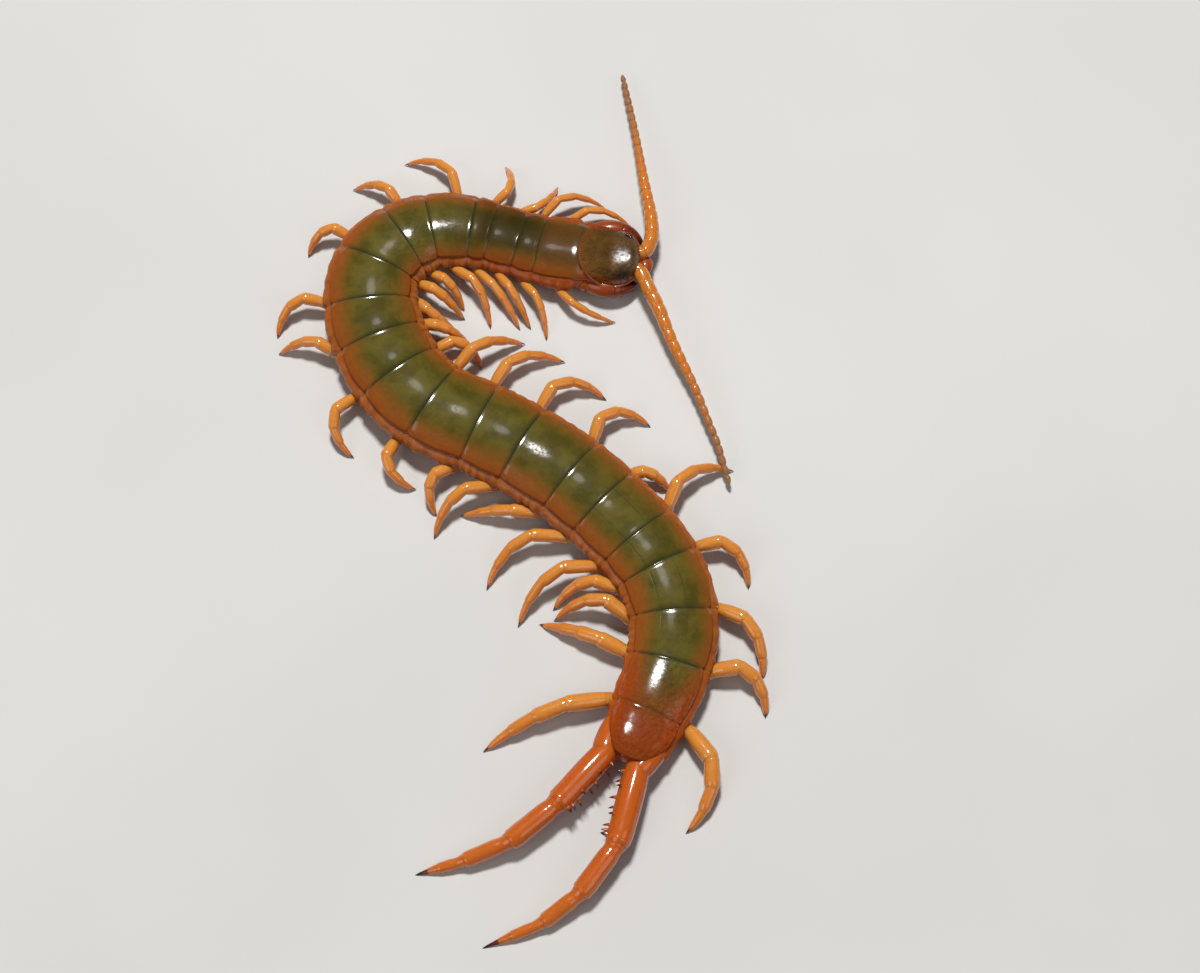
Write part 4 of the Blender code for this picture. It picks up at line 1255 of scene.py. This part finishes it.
def face_ball(out, ahead, height, sizes, cut):
    """A round swelling on the head's front, with its middle out to the left and ahead of it."""
    centre, left, fore = midline_at(0.0)
    middle = centre + left * out + fore * ahead + raised(height)
    return ball(middle, (left, fore, np.array([0, 0, 1.0])), sizes, *cut)


def feeler_socket(side):
    """The swelling that a feeler grows from."""
    return face_ball(side_sign(side) * 0.8, -0.15, 2.4, (0.78, 0.62, 0.55), CUT["socket"])


def clypeus():
    """The rounded front of the face, low between the feelers' roots."""
    return face_ball(-0.15, 0.35, 1.95, (1.0, 0.7, 0.55), CUT["face"])


def eye_frame(side):
    """The pad's middle on the shield, with the ways fore, up and out there."""
    half = EYE_ACROSS * float(head_half_width(EYE_STATION / HEAD_LENGTH))
    behind = EYE_STATION - SHIELD_MIDDLE
    height = float(shield_height(behind, half))
    fall_out = height - float(shield_height(behind, half + 0.1))
    fall_fore = height - float(shield_height(behind - 0.1, half))
    centre, left, fore = midline_at(EYE_STATION)
    out = side_sign(side) * left
    normal = unit(out * fall_out + fore * fall_fore + raised(0.1))
    ahead = unit(fore - normal * (fore @ normal))
    upward = np.cross(normal, ahead)
    return centre + out * half + raised(height), (ahead, upward * np.sign(upward[2]), normal)


def ocelli(side):
    """Four lenses on a low mound."""
    surface, axes = eye_frame(side)
    shapes = [ball(surface, axes, EYE_PAD_SIZES, *CUT["eye_pad"])]
    for fore, up in OCELLI:
        spot = surface + axes[0] * fore + axes[1] * up + axes[2] * 0.02
        shapes.append(ball(spot, axes, LENS_SIZES, *CUT["lens"]))
    return shapes


def fang_base():
    """The plate under the head: rounded-square sections of the table's widths, closing by a
    square root at the front and parted underneath by a middle groove."""
    sections, points = CUT["fang_base"]
    t = np.linspace(0, 1, sections)[:, None]
    rear, front = FANG_BASE[0][0], FANG_BASE[-1][0]
    along = rear - 0.3 + t * (front - rear + 0.3)
    half = smooth(FANG_BASE, along)
    low, high = FANG_BASE_HEIGHTS
    turns = ring_turns(points)[None]
    cosine, sine = np.cos(turns), np.sin(turns)
    closing = np.sqrt(np.clip((1 - t) / 0.08, 0.03, 1))
    out = half * np.sign(cosine) * np.abs(cosine) ** 0.6 * (0.8 + 0.2 * closing)
    rise = (high - low) / 2 * np.sign(sine) * np.abs(sine) ** 0.6 * closing
    rise = rise + 0.08 * peak(out, 0, 0.09) * (sine < 0)
    centre, left, fore = midline_at(HEAD_LENGTH)
    rings = centre + fore * (along + 0 * turns)[..., None] + left * (out + FANG_SHIFT)[..., None]
    rings = rings + raised((low + high) / 2 + rise)
    return closed(rings, along=0.15 + 0.3 * t, ring=peak(out, 0, 0.06) * (sine < 0))


def fang_teeth():
    """Dark blunt teeth on each side of the fang base's front edge."""
    centre, left, fore = midline_at(HEAD_LENGTH)
    shapes = []
    for out in FANG_TEETH:
        for sign in (1, -1):
            base = centre + fore * (2.55 - 0.1 * out) + left * sign * out + raised(0.95)
            shapes.append(cone(base, base + fore * 0.36, 0.1))
    return shapes


def fang(side):
    """A fang: a tube on a smooth curve through its rows, waisted at two joints."""
    rows = np.array(FANG)
    run = np.concatenate([[0], np.cumsum(np.linalg.norm(np.diff(rows[:, :3], axis=0), axis=1))])
    run = run / run[-1]
    rings, points = CUT["fang"]
    t = np.linspace(0, 1, rings)
    along, across, height, radii = (smooth(np.stack([run, rows[:, k]], 1), t) for k in range(4))
    centre, left, fore = midline_at(HEAD_LENGTH)
    out = side_sign(side) * across + FANG_SHIFT
    path = centre + fore * along[:, None] + left * out[:, None] + raised(height)
    ring = joint_marks(t, FANG_JOINTS, 0.01)
    return tube(path, radii * (1 - 0.05 * ring), points, along=t, ring=ring)


# Limbs


def curved_plan(start, length, bearing_knots, shares):
    """Points in plan at shares of a line that sets out from start and turns as it goes."""
    steps = np.linspace(0, 1, PLAN_STEPS + 1)
    plan = walk(knots(bearing_knots, steps[:-1]), length / PLAN_STEPS, start[:2])
    return np.interp(shares, steps, plan[:, 0]), np.interp(shares, steps, plan[:, 1])


def feeler(side):
    """A feeler of beads that shorten towards its tip. Along each bead b its radius is the taper
    times 1 - waist |2b - 1|^3, with a narrow neck between beads, and the waist grows with the
    share t as 0.05 + 0.42 t^1.5. Rings lead in from inside the head, and that bend is rounded.
    The mark "ring" is 1 in the necks."""
    articles = limbs().feeler_articles
    t = np.linspace(0, 1, articles * FEELER_RINGS_IN_BEAD + 1)
    bead = (articles * (0.82 * t + 0.18 * t**2)) % 1
    neck = np.abs(2 * bead - 1)
    waist = 0.05 + 0.42 * t**1.5
    radii = smooth(FEELER_RADIUS, t) * (1 - waist * neck**3 - (0.04 + 0.08 * t) * neck**20)
    radii = radii * np.sqrt(np.clip(1.003 - t, 0, 0.03) / 0.03)
    centre, left, fore = midline_at(0.0)
    out = side_sign(side) * left
    start = centre + out * FEELER_OFFSET[side] + fore * FEELER_STANDOFF[side]
    x, y = curved_plan(start, FEELER_LENGTH[side], FEELER_BEARINGS[side], t)
    high, low = FEELER_HEIGHTS
    path = np.stack([x, y, low + (high - low) * (1 - t)], 1)
    inside = centre + out * 0.75 - fore * 0.5 + raised(2.6)
    lead = np.linspace(0, 1, FEELER_LEAD + 1)[:-1, None]
    path = np.vstack([inside + lead * (path[0] - inside), path])
    path = np.vstack([rounded(path[:30], 30), path[30:]])
    plain = np.zeros(FEELER_LEAD)
    radii = np.concatenate([plain + 0.85 * radii[4], radii])
    ring = np.concatenate([plain, neck**16])
    return tube(path, radii, FEELER_POINTS, along=np.concatenate([plain, t]), ring=ring)


def leg_path(number, side, shares):
    """A walking leg's centreline from the coxa's end to the claw tip. In plan its heading turns at
    each joint by a share of the curl, and the line is then turned and scaled so that its chord has
    the pose's reach and sweep. Its height falls by share^1.5 and is raised at the knee by 0.7 lift
    sin(pi share^0.75). Shares under 0 run back through the coxa into the flank."""
    surface, normal, out, fore = leg_root(number, side)
    sweep, reach, curl, lift = LEG_POSES[side][number - 1]
    steps = np.linspace(0, 1, PLAN_STEPS + 1)
    turned = sum(
        turn * step(joint - 0.04, joint + 0.04, steps) for joint, turn in zip(LEG_JOINTS, LEG_TURNS)
    )
    line = walk(-curl * turned[:-1], 1.0, (0.0, 0.0))
    line = line[:, 0] + 1j * line[:, 1]
    line = line / line[-1] * reach * np.exp(1j * math.radians(sweep))
    ahead = np.clip(shares, 0, 1)
    to_out, to_fore = np.interp(ahead, steps, line.real), np.interp(ahead, steps, line.imag)
    coxa = surface + (COXA_STANDOFF + COXA_LENGTH) * normal
    plan = coxa + to_out[:, None] * out + to_fore[:, None] * fore
    fallen = ahead**1.5
    knee = KNEE_RISE * lift * np.sin(np.pi * ahead**0.75)
    height = (1 - fallen) * coxa[2] + fallen * LEG_TIP_HEIGHT + knee
    behind = np.minimum(shares, 0)[:, None] / -COXA_SHARE
    return np.column_stack([plan[:, :2], height]) + behind * COXA_DEPTH * normal


def jointed(path, shares, joints, stiffness):
    """A path drawn towards straight lines between its joints, by a stiffness from 0 to 1."""
    places = [*joints, 1.0]
    corners = np.array([path[np.abs(shares - place).argmin()] for place in places])
    straight = np.stack([np.interp(shares, places, corners[:, k]) for k in range(3)], 1)
    return np.where((shares > 0)[:, None], (1 - stiffness) * path + stiffness * straight, path)


def joint_marks(shares, joints, width):
    """Bells of 1 at each joint."""
    return sum(peak(shares, joint, width) for joint in joints)


def leg_radius(number):
    """A walking leg's radius, by its segment's number."""
    return knots(LEG_RADIUS_KNOTS, number)


def walking_leg(number, side):
    """A jointed leg: nearly straight articles with rounded bends, the leg's shape times its
    radius, necked at each joint, in a slightly upright oval."""
    rings, points = CUT["leg"]
    shares = np.linspace(COXA_SHARE, CLAW_SHARE + CLAW_OVERLAP, rings)
    to_tip = np.append(shares, 1.0)
    path = jointed(leg_path(number, side, to_tip), to_tip, LEG_JOINTS[1:], LEG_STIFFNESS)[:-1]
    path, at = resampled(path, shares, 0.07)
    path = rounded(path, 12)
    radius = leg_radius(number) * limbs().leg_thickness
    ring = joint_marks(at, LEG_JOINTS, 0.007)
    radii = radius * smooth(LEG_SHAPE, at) * (1 - 0.06 * ring)
    return tube(path, radii, points, flat=1.04, along=at, ring=ring)


def leg_claw(number, side):
    """A claw: the end of the leg's path, arched by 0.1 sin(pi t) to its tip, with a radius that
    falls by (1 - t)^0.8."""
    rings, points = CUT["claw"]
    t = np.linspace(0, 1, rings)
    path = leg_path(number, side, CLAW_SHARE - 0.012 + (1.012 - CLAW_SHARE) * t)
    path = path + raised(0.1 * np.sin(np.pi * t))
    radii = leg_radius(number) * 0.17 * (1 - t) ** 0.8 + TIP_RADIUS
    return tube(path, radii, points, along=t)


def leg_spur(number, side):
    """The small dark spur under the end of a leg's first tarsus."""
    path = leg_path(number, side, np.array([0.86, 0.875, 0.89]))
    way = unit(path[2] - path[0])
    base = path[1] - raised(0.3 * leg_radius(number))
    tip = base + way * 0.3 - raised(0.16)
    tip[2] = max(tip[2], 0.02)
    return cone(base, tip, 0.06, count=8)


def last_leg_ends(side):
    """The shares of a last leg's length at which its four articles meet and end, and the
    length."""
    lengths = np.array([length for length, _ in LAST_LEG_ARTICLES[side]])
    return np.concatenate([[0], np.cumsum(lengths)]) / lengths.sum(), lengths.sum()


def last_leg_path(side, shares):
    """A last leg's centreline at shares of the shape's table, whose articles are stretched to the
    leg's own. Each article keeps its bearing over its middle 3/5, and the height is read off a
    table. Shares under 0 run fore into the trunk."""
    ends, total = last_leg_ends(side)
    ahead = np.interp(shares, (0, *LAST_LEG_JOINTS[1:4], 1), ends)
    bearings = []
    for first, last, (_, bearing) in zip(ends[:-1], ends[1:], LAST_LEG_ARTICLES[side]):
        margin = 0.2 * (last - first)
        bearings += [(first + margin, bearing), (last - margin, bearing)]
    centre, left, fore = midline_at(TRUNK_END + 0.15)
    out, forward = LAST_LEG_STARTS[side]
    x, y = curved_plan(centre + left * out + fore * forward, total, bearings, ahead)
    path = np.stack([x, y, smooth(LAST_LEG_HEIGHTS, shares)], 1)
    return path - (np.minimum(shares, 0) * total)[:, None] * fore


def last_leg(side):
    """A last leg: its shape times its radius, swollen just before each joint and necked at it."""
    rings, points = CUT["last_leg"]
    shares = np.linspace(-0.05, CLAW_SHARE + CLAW_OVERLAP, rings)
    path, at = resampled(last_leg_path(side, shares), shares, 0.09)
    ring = joint_marks(at, LAST_LEG_JOINTS[1:], 0.006)
    swell = joint_marks(at, np.array(LAST_LEG_JOINTS[1:]) - 0.014, 0.008)
    radii = LAST_LEG_RADIUS * smooth(LAST_LEG_SHAPE, at) * (1 - 0.05 * ring + 0.05 * swell)
    return tube(rounded(path, 12), radii, points, along=at, ring=ring)


def last_leg_spine(side, share, turn, stout=1.0):
    """A spine on the inner side of a last leg, bowed back a little towards the claw."""
    before, place, after = last_leg_path(side, np.array([share - 0.01, share, share + 0.01]))
    along = unit(after - before)
    inward = np.cross([0, 0, side_sign(side)], along)
    way = math.cos(math.radians(turn)) * inward + raised(math.sin(math.radians(turn)))
    skin = LAST_LEG_RADIUS * float(smooth(LAST_LEG_SHAPE, share))
    long = limbs().spine_length / MM
    base = place + way * (skin - long / 2)
    tip = place + way * (skin + long) + along * long / 3
    return cone(base, tip, stout * limbs().spine_radius / MM, bow=-along * 0.06)


def last_leg_claw(side):
    """The last leg's long thin claw, with a radius that falls by (1 - t)^0.75."""
    rings, points = CUT["last_claw"]
    t = np.linspace(0, 1, rings)
    path = last_leg_path(side, CLAW_SHARE - 0.008 + (1.008 - CLAW_SHARE) * t)
    radii = LAST_LEG_RADIUS * 0.19 * (1 - t) ** 0.75 + 0.02
    return tube(path, radii, points, along=t)


# Settings that a user would change


def size_prop(name, description, default):
    """A length, given in millimetres and kept in metres."""
    return bpy.props.FloatProperty(
        name=name, description=description, default=default * MM, unit="LENGTH", precision=6
    )


def share_prop(name, description, default):
    """A share of something else."""
    return bpy.props.FloatProperty(
        name=name, description=description, default=default, subtype="FACTOR", min=0.0, max=2.0
    )


def tint_prop(name, description, default):
    """A colour, in linear light."""
    return bpy.props.FloatVectorProperty(
        name=name, description=description, default=default, size=3, subtype="COLOR", min=0, max=1
    )


class CentipedeBody(bpy.types.PropertyGroup):
    """Sizes of the trunk and head."""

    height_to_width: share_prop("Height", "The trunk's height as a share of its width", 0.56)
    belly_height: size_prop("Belly height", "Height of the belly over the floor", 0.5)
    plate_thickness: size_prop("Plate thickness", "Thickness of a back plate at its rear lip", 0.17)
    lip_overlap: size_prop("Lip overlap", "How far a rear lip lies over the next plate", 0.16)
    suture_across: share_prop("Suture place", "Share across the back where sutures run", 0.27)
    plate_spread: bpy.props.FloatProperty(
        name="Plate spread", description="Turn from the ridge of the back down to a plate's side",
        default=math.radians(71), subtype="ANGLE", unit="ROTATION",
    )
    head_width: size_prop("Head width", "Width of the head plate", 6.0)


class CentipedeLimbs(bpy.types.PropertyGroup):
    """Sizes of the legs and feelers."""

    leg_thickness: share_prop("Leg thickness", "Thickness of the walking legs against life", 1.0)
    feeler_articles: bpy.props.IntProperty(
        name="Feeler articles", description="Beads in each feeler", default=20, min=17, max=30
    )
    spine_length: size_prop("Spine length", "Length of the last legs' spines", 0.6)
    spine_radius: size_prop("Spine radius", "Radius of the last legs' spines at the root", 0.23)


class CentipedeColours(bpy.types.PropertyGroup):
    """Base colours of the cuticle and the stage."""

    plate: tint_prop("Plate", "Dark olive green of the back", (0.068, 0.056, 0.007))
    plate_light: tint_prop("Plate clouds", "Lighter olive in the mottling", (0.112, 0.09, 0.013))
    plate_brown: tint_prop("Plate brown", "Brown between green and sides", (0.15, 0.076, 0.012))
    plate_fore: tint_prop("Fore plates", "Brown of the plates behind it", (0.06, 0.036, 0.007))
    neck_plate: tint_prop("Neck plate", "Red-brown of the first plate", (0.105, 0.042, 0.009))
    plate_side: tint_prop("Plate sides", "Orange-brown of the plates' sides", (0.26, 0.076, 0.012))
    # The furrow colour also paints shade just beyond each plate's lip.
    furrow: tint_prop("Furrow", "Dark green of lips and sutures", (0.025, 0.03, 0.01))
    tail: tint_prop("Tail", "Orange-red of the last segments", (0.4, 0.06, 0.003))
    tail_plate: tint_prop("Last plate", "Orange-brown of the last plate", (0.235, 0.042, 0.005))
    # The flank colour lies on the folds' tops as painted light, the crease colour in the creases as
    # painted shade.
    flank: tint_prop("Flank", "Yellowish skin on the folds", (0.42, 0.125, 0.02))
    flank_crease_shade: tint_prop("Flank creases", "Red-brown between the folds", (0.24, 0.052, 0.008))
    belly: tint_prop("Belly", "Greenish middle of the belly plates", (0.3, 0.2, 0.035))
    head: tint_prop("Head", "Dark olive-brown of the head plate", (0.075, 0.032, 0.007))
    head_light: tint_prop("Head clouds", "Lighter olive on the head", (0.125, 0.06, 0.012))
    head_rim: tint_prop("Head rim", "Red-brown of the head's rim", (0.26, 0.04, 0.005))
    fang: tint_prop("Fang", "Red-brown of the fangs' roots", (0.3, 0.055, 0.009))
    fang_dark: tint_prop("Fang tip", "Dark red before the black", (0.13, 0.018, 0.004))
    black: tint_prop("Black", "Claws, lenses and tips", (0.008, 0.005, 0.004))
    feeler: tint_prop("Feeler", "Amber of the feelers", (0.58, 0.19, 0.022))
    feeler_tip: tint_prop("Feeler tip", "Brown of the feelers' tips", (0.27, 0.135, 0.06))
    leg: tint_prop("Leg", "Amber of the walking legs", (0.62, 0.21, 0.026))
    # The walking legs' upper side colour is painted light; the joint colour also paints shade on
    # their underside.
    leg_lit_top: tint_prop("Leg upper side", "Yellower amber on top", (0.68, 0.285, 0.045))
    leg_joint_and_shade: tint_prop("Leg joint", "Orange-brown of the joints", (0.52, 0.15, 0.012))
    leg_tip: tint_prop("Leg tip", "Orange of the last articles", (0.58, 0.18, 0.024))
    last_leg: tint_prop("Last leg", "Orange-red of the last legs", (0.48, 0.08, 0.004))
    # The last legs' upper side colour is painted light; the tail's colour paints shade on their
    # underside.
    last_leg_lit_top: tint_prop("Last leg upper side", "Orange on top", (0.56, 0.12, 0.007))
    last_leg_tip: tint_prop("Last leg tip", "Amber of the last articles", (0.55, 0.15, 0.016))
    floor: tint_prop("Floor", "Pale floor", (0.66, 0.645, 0.62))
    floor_shade: tint_prop("Floor clouds", "Slightly darker floor", (0.62, 0.605, 0.58))


class CentipedeStage(bpy.types.PropertyGroup):
    """Camera, lights and floor."""

    elevation: bpy.props.FloatProperty(
        name="Camera elevation", description="Angle of the camera above the floor",
        default=math.radians(70), subtype="ANGLE", unit="ROTATION",
    )
    lens: bpy.props.FloatProperty(
        name="Lens", description="Focal length in millimetres", default=100.0, min=20, max=300
    )
    distance: size_prop("Distance", "From the camera to the middle of the picture", 306.67)
    target_x: size_prop("Target x", "Middle of the picture on the floor", 7.53)
    target_y: size_prop("Target y", "Middle of the picture on the floor", 0.86)
    key_power: bpy.props.FloatProperty(
        name="Key light", description="Power of the small lamp over the camera", default=6.0,
        unit="POWER",
    )
    fill_power: bpy.props.FloatProperty(
        name="Fill light", description="Power of the large soft lamps", default=0.9, unit="POWER"
    )
    floor_size: size_prop("Floor size", "Half the floor's side", 1500.0)


# Pieces


class CENTIPEDE_OT_trunk_skin(bpy.types.Operator):
    """Add the soft folded skin of the trunk, with its spiracles"""

    bl_idname = "centipede.trunk_skin"
    bl_label = "Trunk skin"

    def execute(self, context):
        trunk = [f"trunk_{number}" for number in range(1, COUNT // SEGMENTS_IN_NODE + 1)]
        make_piece("trunk_skin", [trunk_skin()], flesh_finish(), trunk)
        slits = [spiracle(number, side) for number in SPIRACLE_SEGMENTS for side in SIDES]
        make_piece("spiracles", slits, claw_finish(), trunk)
        return {"FINISHED"}


class CENTIPEDE_OT_back_plates(bpy.types.Operator):
    """Add the 21 overlapping back plates"""

    bl_idname = "centipede.back_plates"
    bl_label = "Back plates"

    def execute(self, context):
        finish = plate_finish()
        for number in range(1, COUNT + 1):
            name = f"back_plate_{number:02d}"
            make_piece(name, [back_plate(number)], finish, [node_of(number)])
        return {"FINISHED"}


class CENTIPEDE_OT_belly_plates(bpy.types.Operator):
    """Add the 21 belly plates"""

    bl_idname = "centipede.belly_plates"
    bl_label = "Belly plates"

    def execute(self, context):
        finish = belly_finish()
        for number in range(1, COUNT + 1):
            name = f"belly_plate_{number:02d}"
            make_piece(name, [belly_plate(number)], finish, [node_of(number)])
        return {"FINISHED"}


class CENTIPEDE_OT_head(bpy.types.Operator):
    """Add the head's shield and capsule, its palps, its face with the feeler sockets, and lenses"""

    bl_idname = "centipede.head"
    bl_label = "Head"

    def execute(self, context):
        make_piece("head_plate", [head_plate()], head_finish(), ["head"])
        make_piece("head_capsule", [head_capsule()], mouth_finish(), ["head"])
        palps = [palp(side) for side in SIDES]
        make_piece("palps", palps, mouth_finish(), ["head"])
        face = [clypeus(), *(feeler_socket(side) for side in SIDES)]
        make_piece("face", face, mouth_finish(), ["head"])
        finish = eye_finish()
        for side in SIDES:
            make_piece(f"ocelli_{side}", ocelli(side), finish, [f"eye_{side}"])
        return {"FINISHED"}


class CENTIPEDE_OT_fangs(bpy.types.Operator):
    """Add the fangs, the plate that carries them and its teeth"""

    bl_idname = "centipede.fangs"
    bl_label = "Fangs"

    def execute(self, context):
        finish = fang_finish()
        make_piece("fang_plate", [fang_base()], finish, ["fang_base"])
        make_piece("fang_teeth", fang_teeth(), claw_finish(), ["fang_base"])
        for side in SIDES:
            make_piece(f"fang_{side}", [fang(side)], finish, [f"forcipule_{side}"])
        return {"FINISHED"}


class CENTIPEDE_OT_feelers(bpy.types.Operator):
    """Add the two beaded feelers"""

    bl_idname = "centipede.feelers"
    bl_label = "Feelers"

    def execute(self, context):
        finish = feeler_finish()
        for side in SIDES:
            make_piece(f"feeler_{side}", [feeler(side)], finish, [f"antenna_{side}"])
        return {"FINISHED"}


class CENTIPEDE_OT_legs(bpy.types.Operator):
    """Add the 40 walking legs with their claws and spurs"""

    bl_idname = "centipede.legs"
    bl_label = "Walking legs"

    def execute(self, context):
        tint = colours()
        finish = leg_finish("leg", tint.leg, tint.leg_lit_top, tint.leg_joint_and_shade, tint.leg_tip)
        dark = claw_finish()
        for side in SIDES:
            nodes = [f"leg_{side}_{number:02d}" for number in range(1, COUNT)]
            for number, node in enumerate(nodes, 1):
                name = f"walking_leg_{side}_{number:02d}"
                make_piece(name, [walking_leg(number, side)], finish, [node])
            claws = [leg_claw(number, side) for number in range(1, COUNT)]
            claws += [leg_spur(number, side) for number in range(1, COUNT)]
            make_piece(f"claws_{side}", claws, dark, nodes)
        return {"FINISHED"}


class CENTIPEDE_OT_last_legs(bpy.types.Operator):
    """Add the last legs with their spines and claws, and the lobes and spines at their roots"""

    bl_idname = "centipede.last_legs"
    bl_label = "Last legs"

    def execute(self, context):
        tint = colours()
        # The tail's colour paints the last legs' joints and the painted shade under them and the
        # lobes.
        tints = tint.last_leg, tint.last_leg_lit_top, tint.tail, tint.last_leg_tip
        finish = leg_finish("last_leg", *tints)
        dark = claw_finish()
        lobes = [*(tail_lobe(side) for side in SIDES), tail_end()]
        make_piece("tail_lobes", lobes, finish, [node_of(COUNT)])
        points = [spine for side in SIDES for spine in tail_spines(side)]
        make_piece("tail_spines", points, spine_finish(), [node_of(COUNT)])
        for side in SIDES:
            node = f"leg_{side}_21"
            make_piece(f"last_leg_{side}", [last_leg(side)], finish, [node])
            spines = [last_leg_spine(side, share, turn) for share, turn in LAST_LEG_SPINES]
            spines.append(last_leg_spine(side, *LAST_LEG_CORNER, stout=STOUT_SPINE))
            make_piece(f"last_leg_spines_{side}", spines, spine_finish(), [node])
            make_piece(f"last_claw_{side}", [last_leg_claw(side)], dark, [node])
        return {"FINISHED"}


def add_lamp(name, power, size, place, target):
    """A round lamp at a place, in metres, that faces a target."""
    lamp = bpy.data.lights.new(name, "AREA")
    lamp.energy = power
    lamp.shape = "DISK"
    lamp.size = size
    obj = bpy.data.objects.new(name, lamp)
    obj.location = place
    obj.rotation_euler = (Vector(target) - Vector(place)).to_track_quat("-Z", "Y").to_euler()
    bpy.context.scene.collection.objects.link(obj)


class CENTIPEDE_OT_stage(bpy.types.Operator):
    """Add the pale floor, the soft lamps and the camera"""

    bl_idname = "centipede.stage"
    bl_label = "Stage"

    def execute(self, context):
        stage = context.scene.centipede_stage
        half = stage.floor_size
        mesh = bpy.data.meshes.new("floor")
        corners = [(-half, -half, 0), (half, -half, 0), (half, half, 0), (-half, half, 0)]
        mesh.from_pydata(corners, [], [(0, 1, 2, 3)])
        mesh.materials.append(floor_finish())
        floor = bpy.data.objects.new("floor", mesh)
        context.scene.collection.objects.link(floor)
        target = Vector((stage.target_x, stage.target_y, 0))
        back = Vector((0, -math.cos(stage.elevation), math.sin(stage.elevation)))
        camera = bpy.data.cameras.new("camera")
        camera.lens = stage.lens
        camera.sensor_width = SENSOR_WIDTH
        camera.clip_start = NEAREST_VIEW
        eye = bpy.data.objects.new("camera", camera)
        eye.location = target + stage.distance * back
        eye.rotation_euler = (-back).to_track_quat("-Z", "Y").to_euler()
        context.scene.collection.objects.link(eye)
        context.scene.camera = eye
        for name, setting, share, size, place in LAMPS:
            add_lamp(name, share * getattr(stage, setting), size, place, target)
        world = bpy.data.worlds.new("studio")
        world.use_nodes = True
        sky = world.node_tree.nodes["Background"]
        sky.inputs["Color"].default_value = SKY_COLOUR
        sky.inputs["Strength"].default_value = SKY_STRENGTH
        context.scene.world = world
        context.scene.view_settings.view_transform = "Standard"
        return {"FINISHED"}


PIECE_OPERATORS = (
    CENTIPEDE_OT_trunk_skin, CENTIPEDE_OT_back_plates, CENTIPEDE_OT_belly_plates,
    CENTIPEDE_OT_head, CENTIPEDE_OT_fangs, CENTIPEDE_OT_feelers, CENTIPEDE_OT_legs,
    CENTIPEDE_OT_last_legs, CENTIPEDE_OT_stage,
)


class CENTIPEDE_PT_panel(bpy.types.Panel):
    """Lists the pieces and their settings"""

    bl_idname = "CENTIPEDE_PT_panel"
    bl_label = "Giant centipede"
    bl_space_type = "VIEW_3D"
    bl_region_type = "UI"
    bl_category = "Centipede"

    def draw(self, context):
        for operator in PIECE_OPERATORS:
            self.layout.operator(operator.bl_idname)
        for group in SETTINGS:
            box = self.layout.box()
            settings = getattr(context.scene, group)
            for key in settings.bl_rna.properties.keys():
                if key not in ("rna_type", "name"):
                    box.prop(settings, key)


SETTINGS = {
    "centipede_body": CentipedeBody,
    "centipede_limbs": CentipedeLimbs,
    "centipede_colours": CentipedeColours,
    "centipede_stage": CentipedeStage,
}


def register():
    """Registers the classes and puts the settings on the scene."""
    for group in (*SETTINGS.values(), *PIECE_OPERATORS, CENTIPEDE_PT_panel):
        bpy.utils.register_class(group)
    for name, group in SETTINGS.items():
        setattr(bpy.types.Scene, name, bpy.props.PointerProperty(type=group))


def unregister():
    """Takes the settings off the scene and the classes out again."""
    for name in SETTINGS:
        delattr(bpy.types.Scene, name)
    for group in reversed((*SETTINGS.values(), *PIECE_OPERATORS, CENTIPEDE_PT_panel)):
        bpy.utils.unregister_class(group)


def main():
    """Makes every piece in order."""
    register()
    for operator in PIECE_OPERATORS:
        module, name = operator.bl_idname.split(".")
        getattr(getattr(bpy.ops, module), name)()


if __name__ == "__main__":
    main()
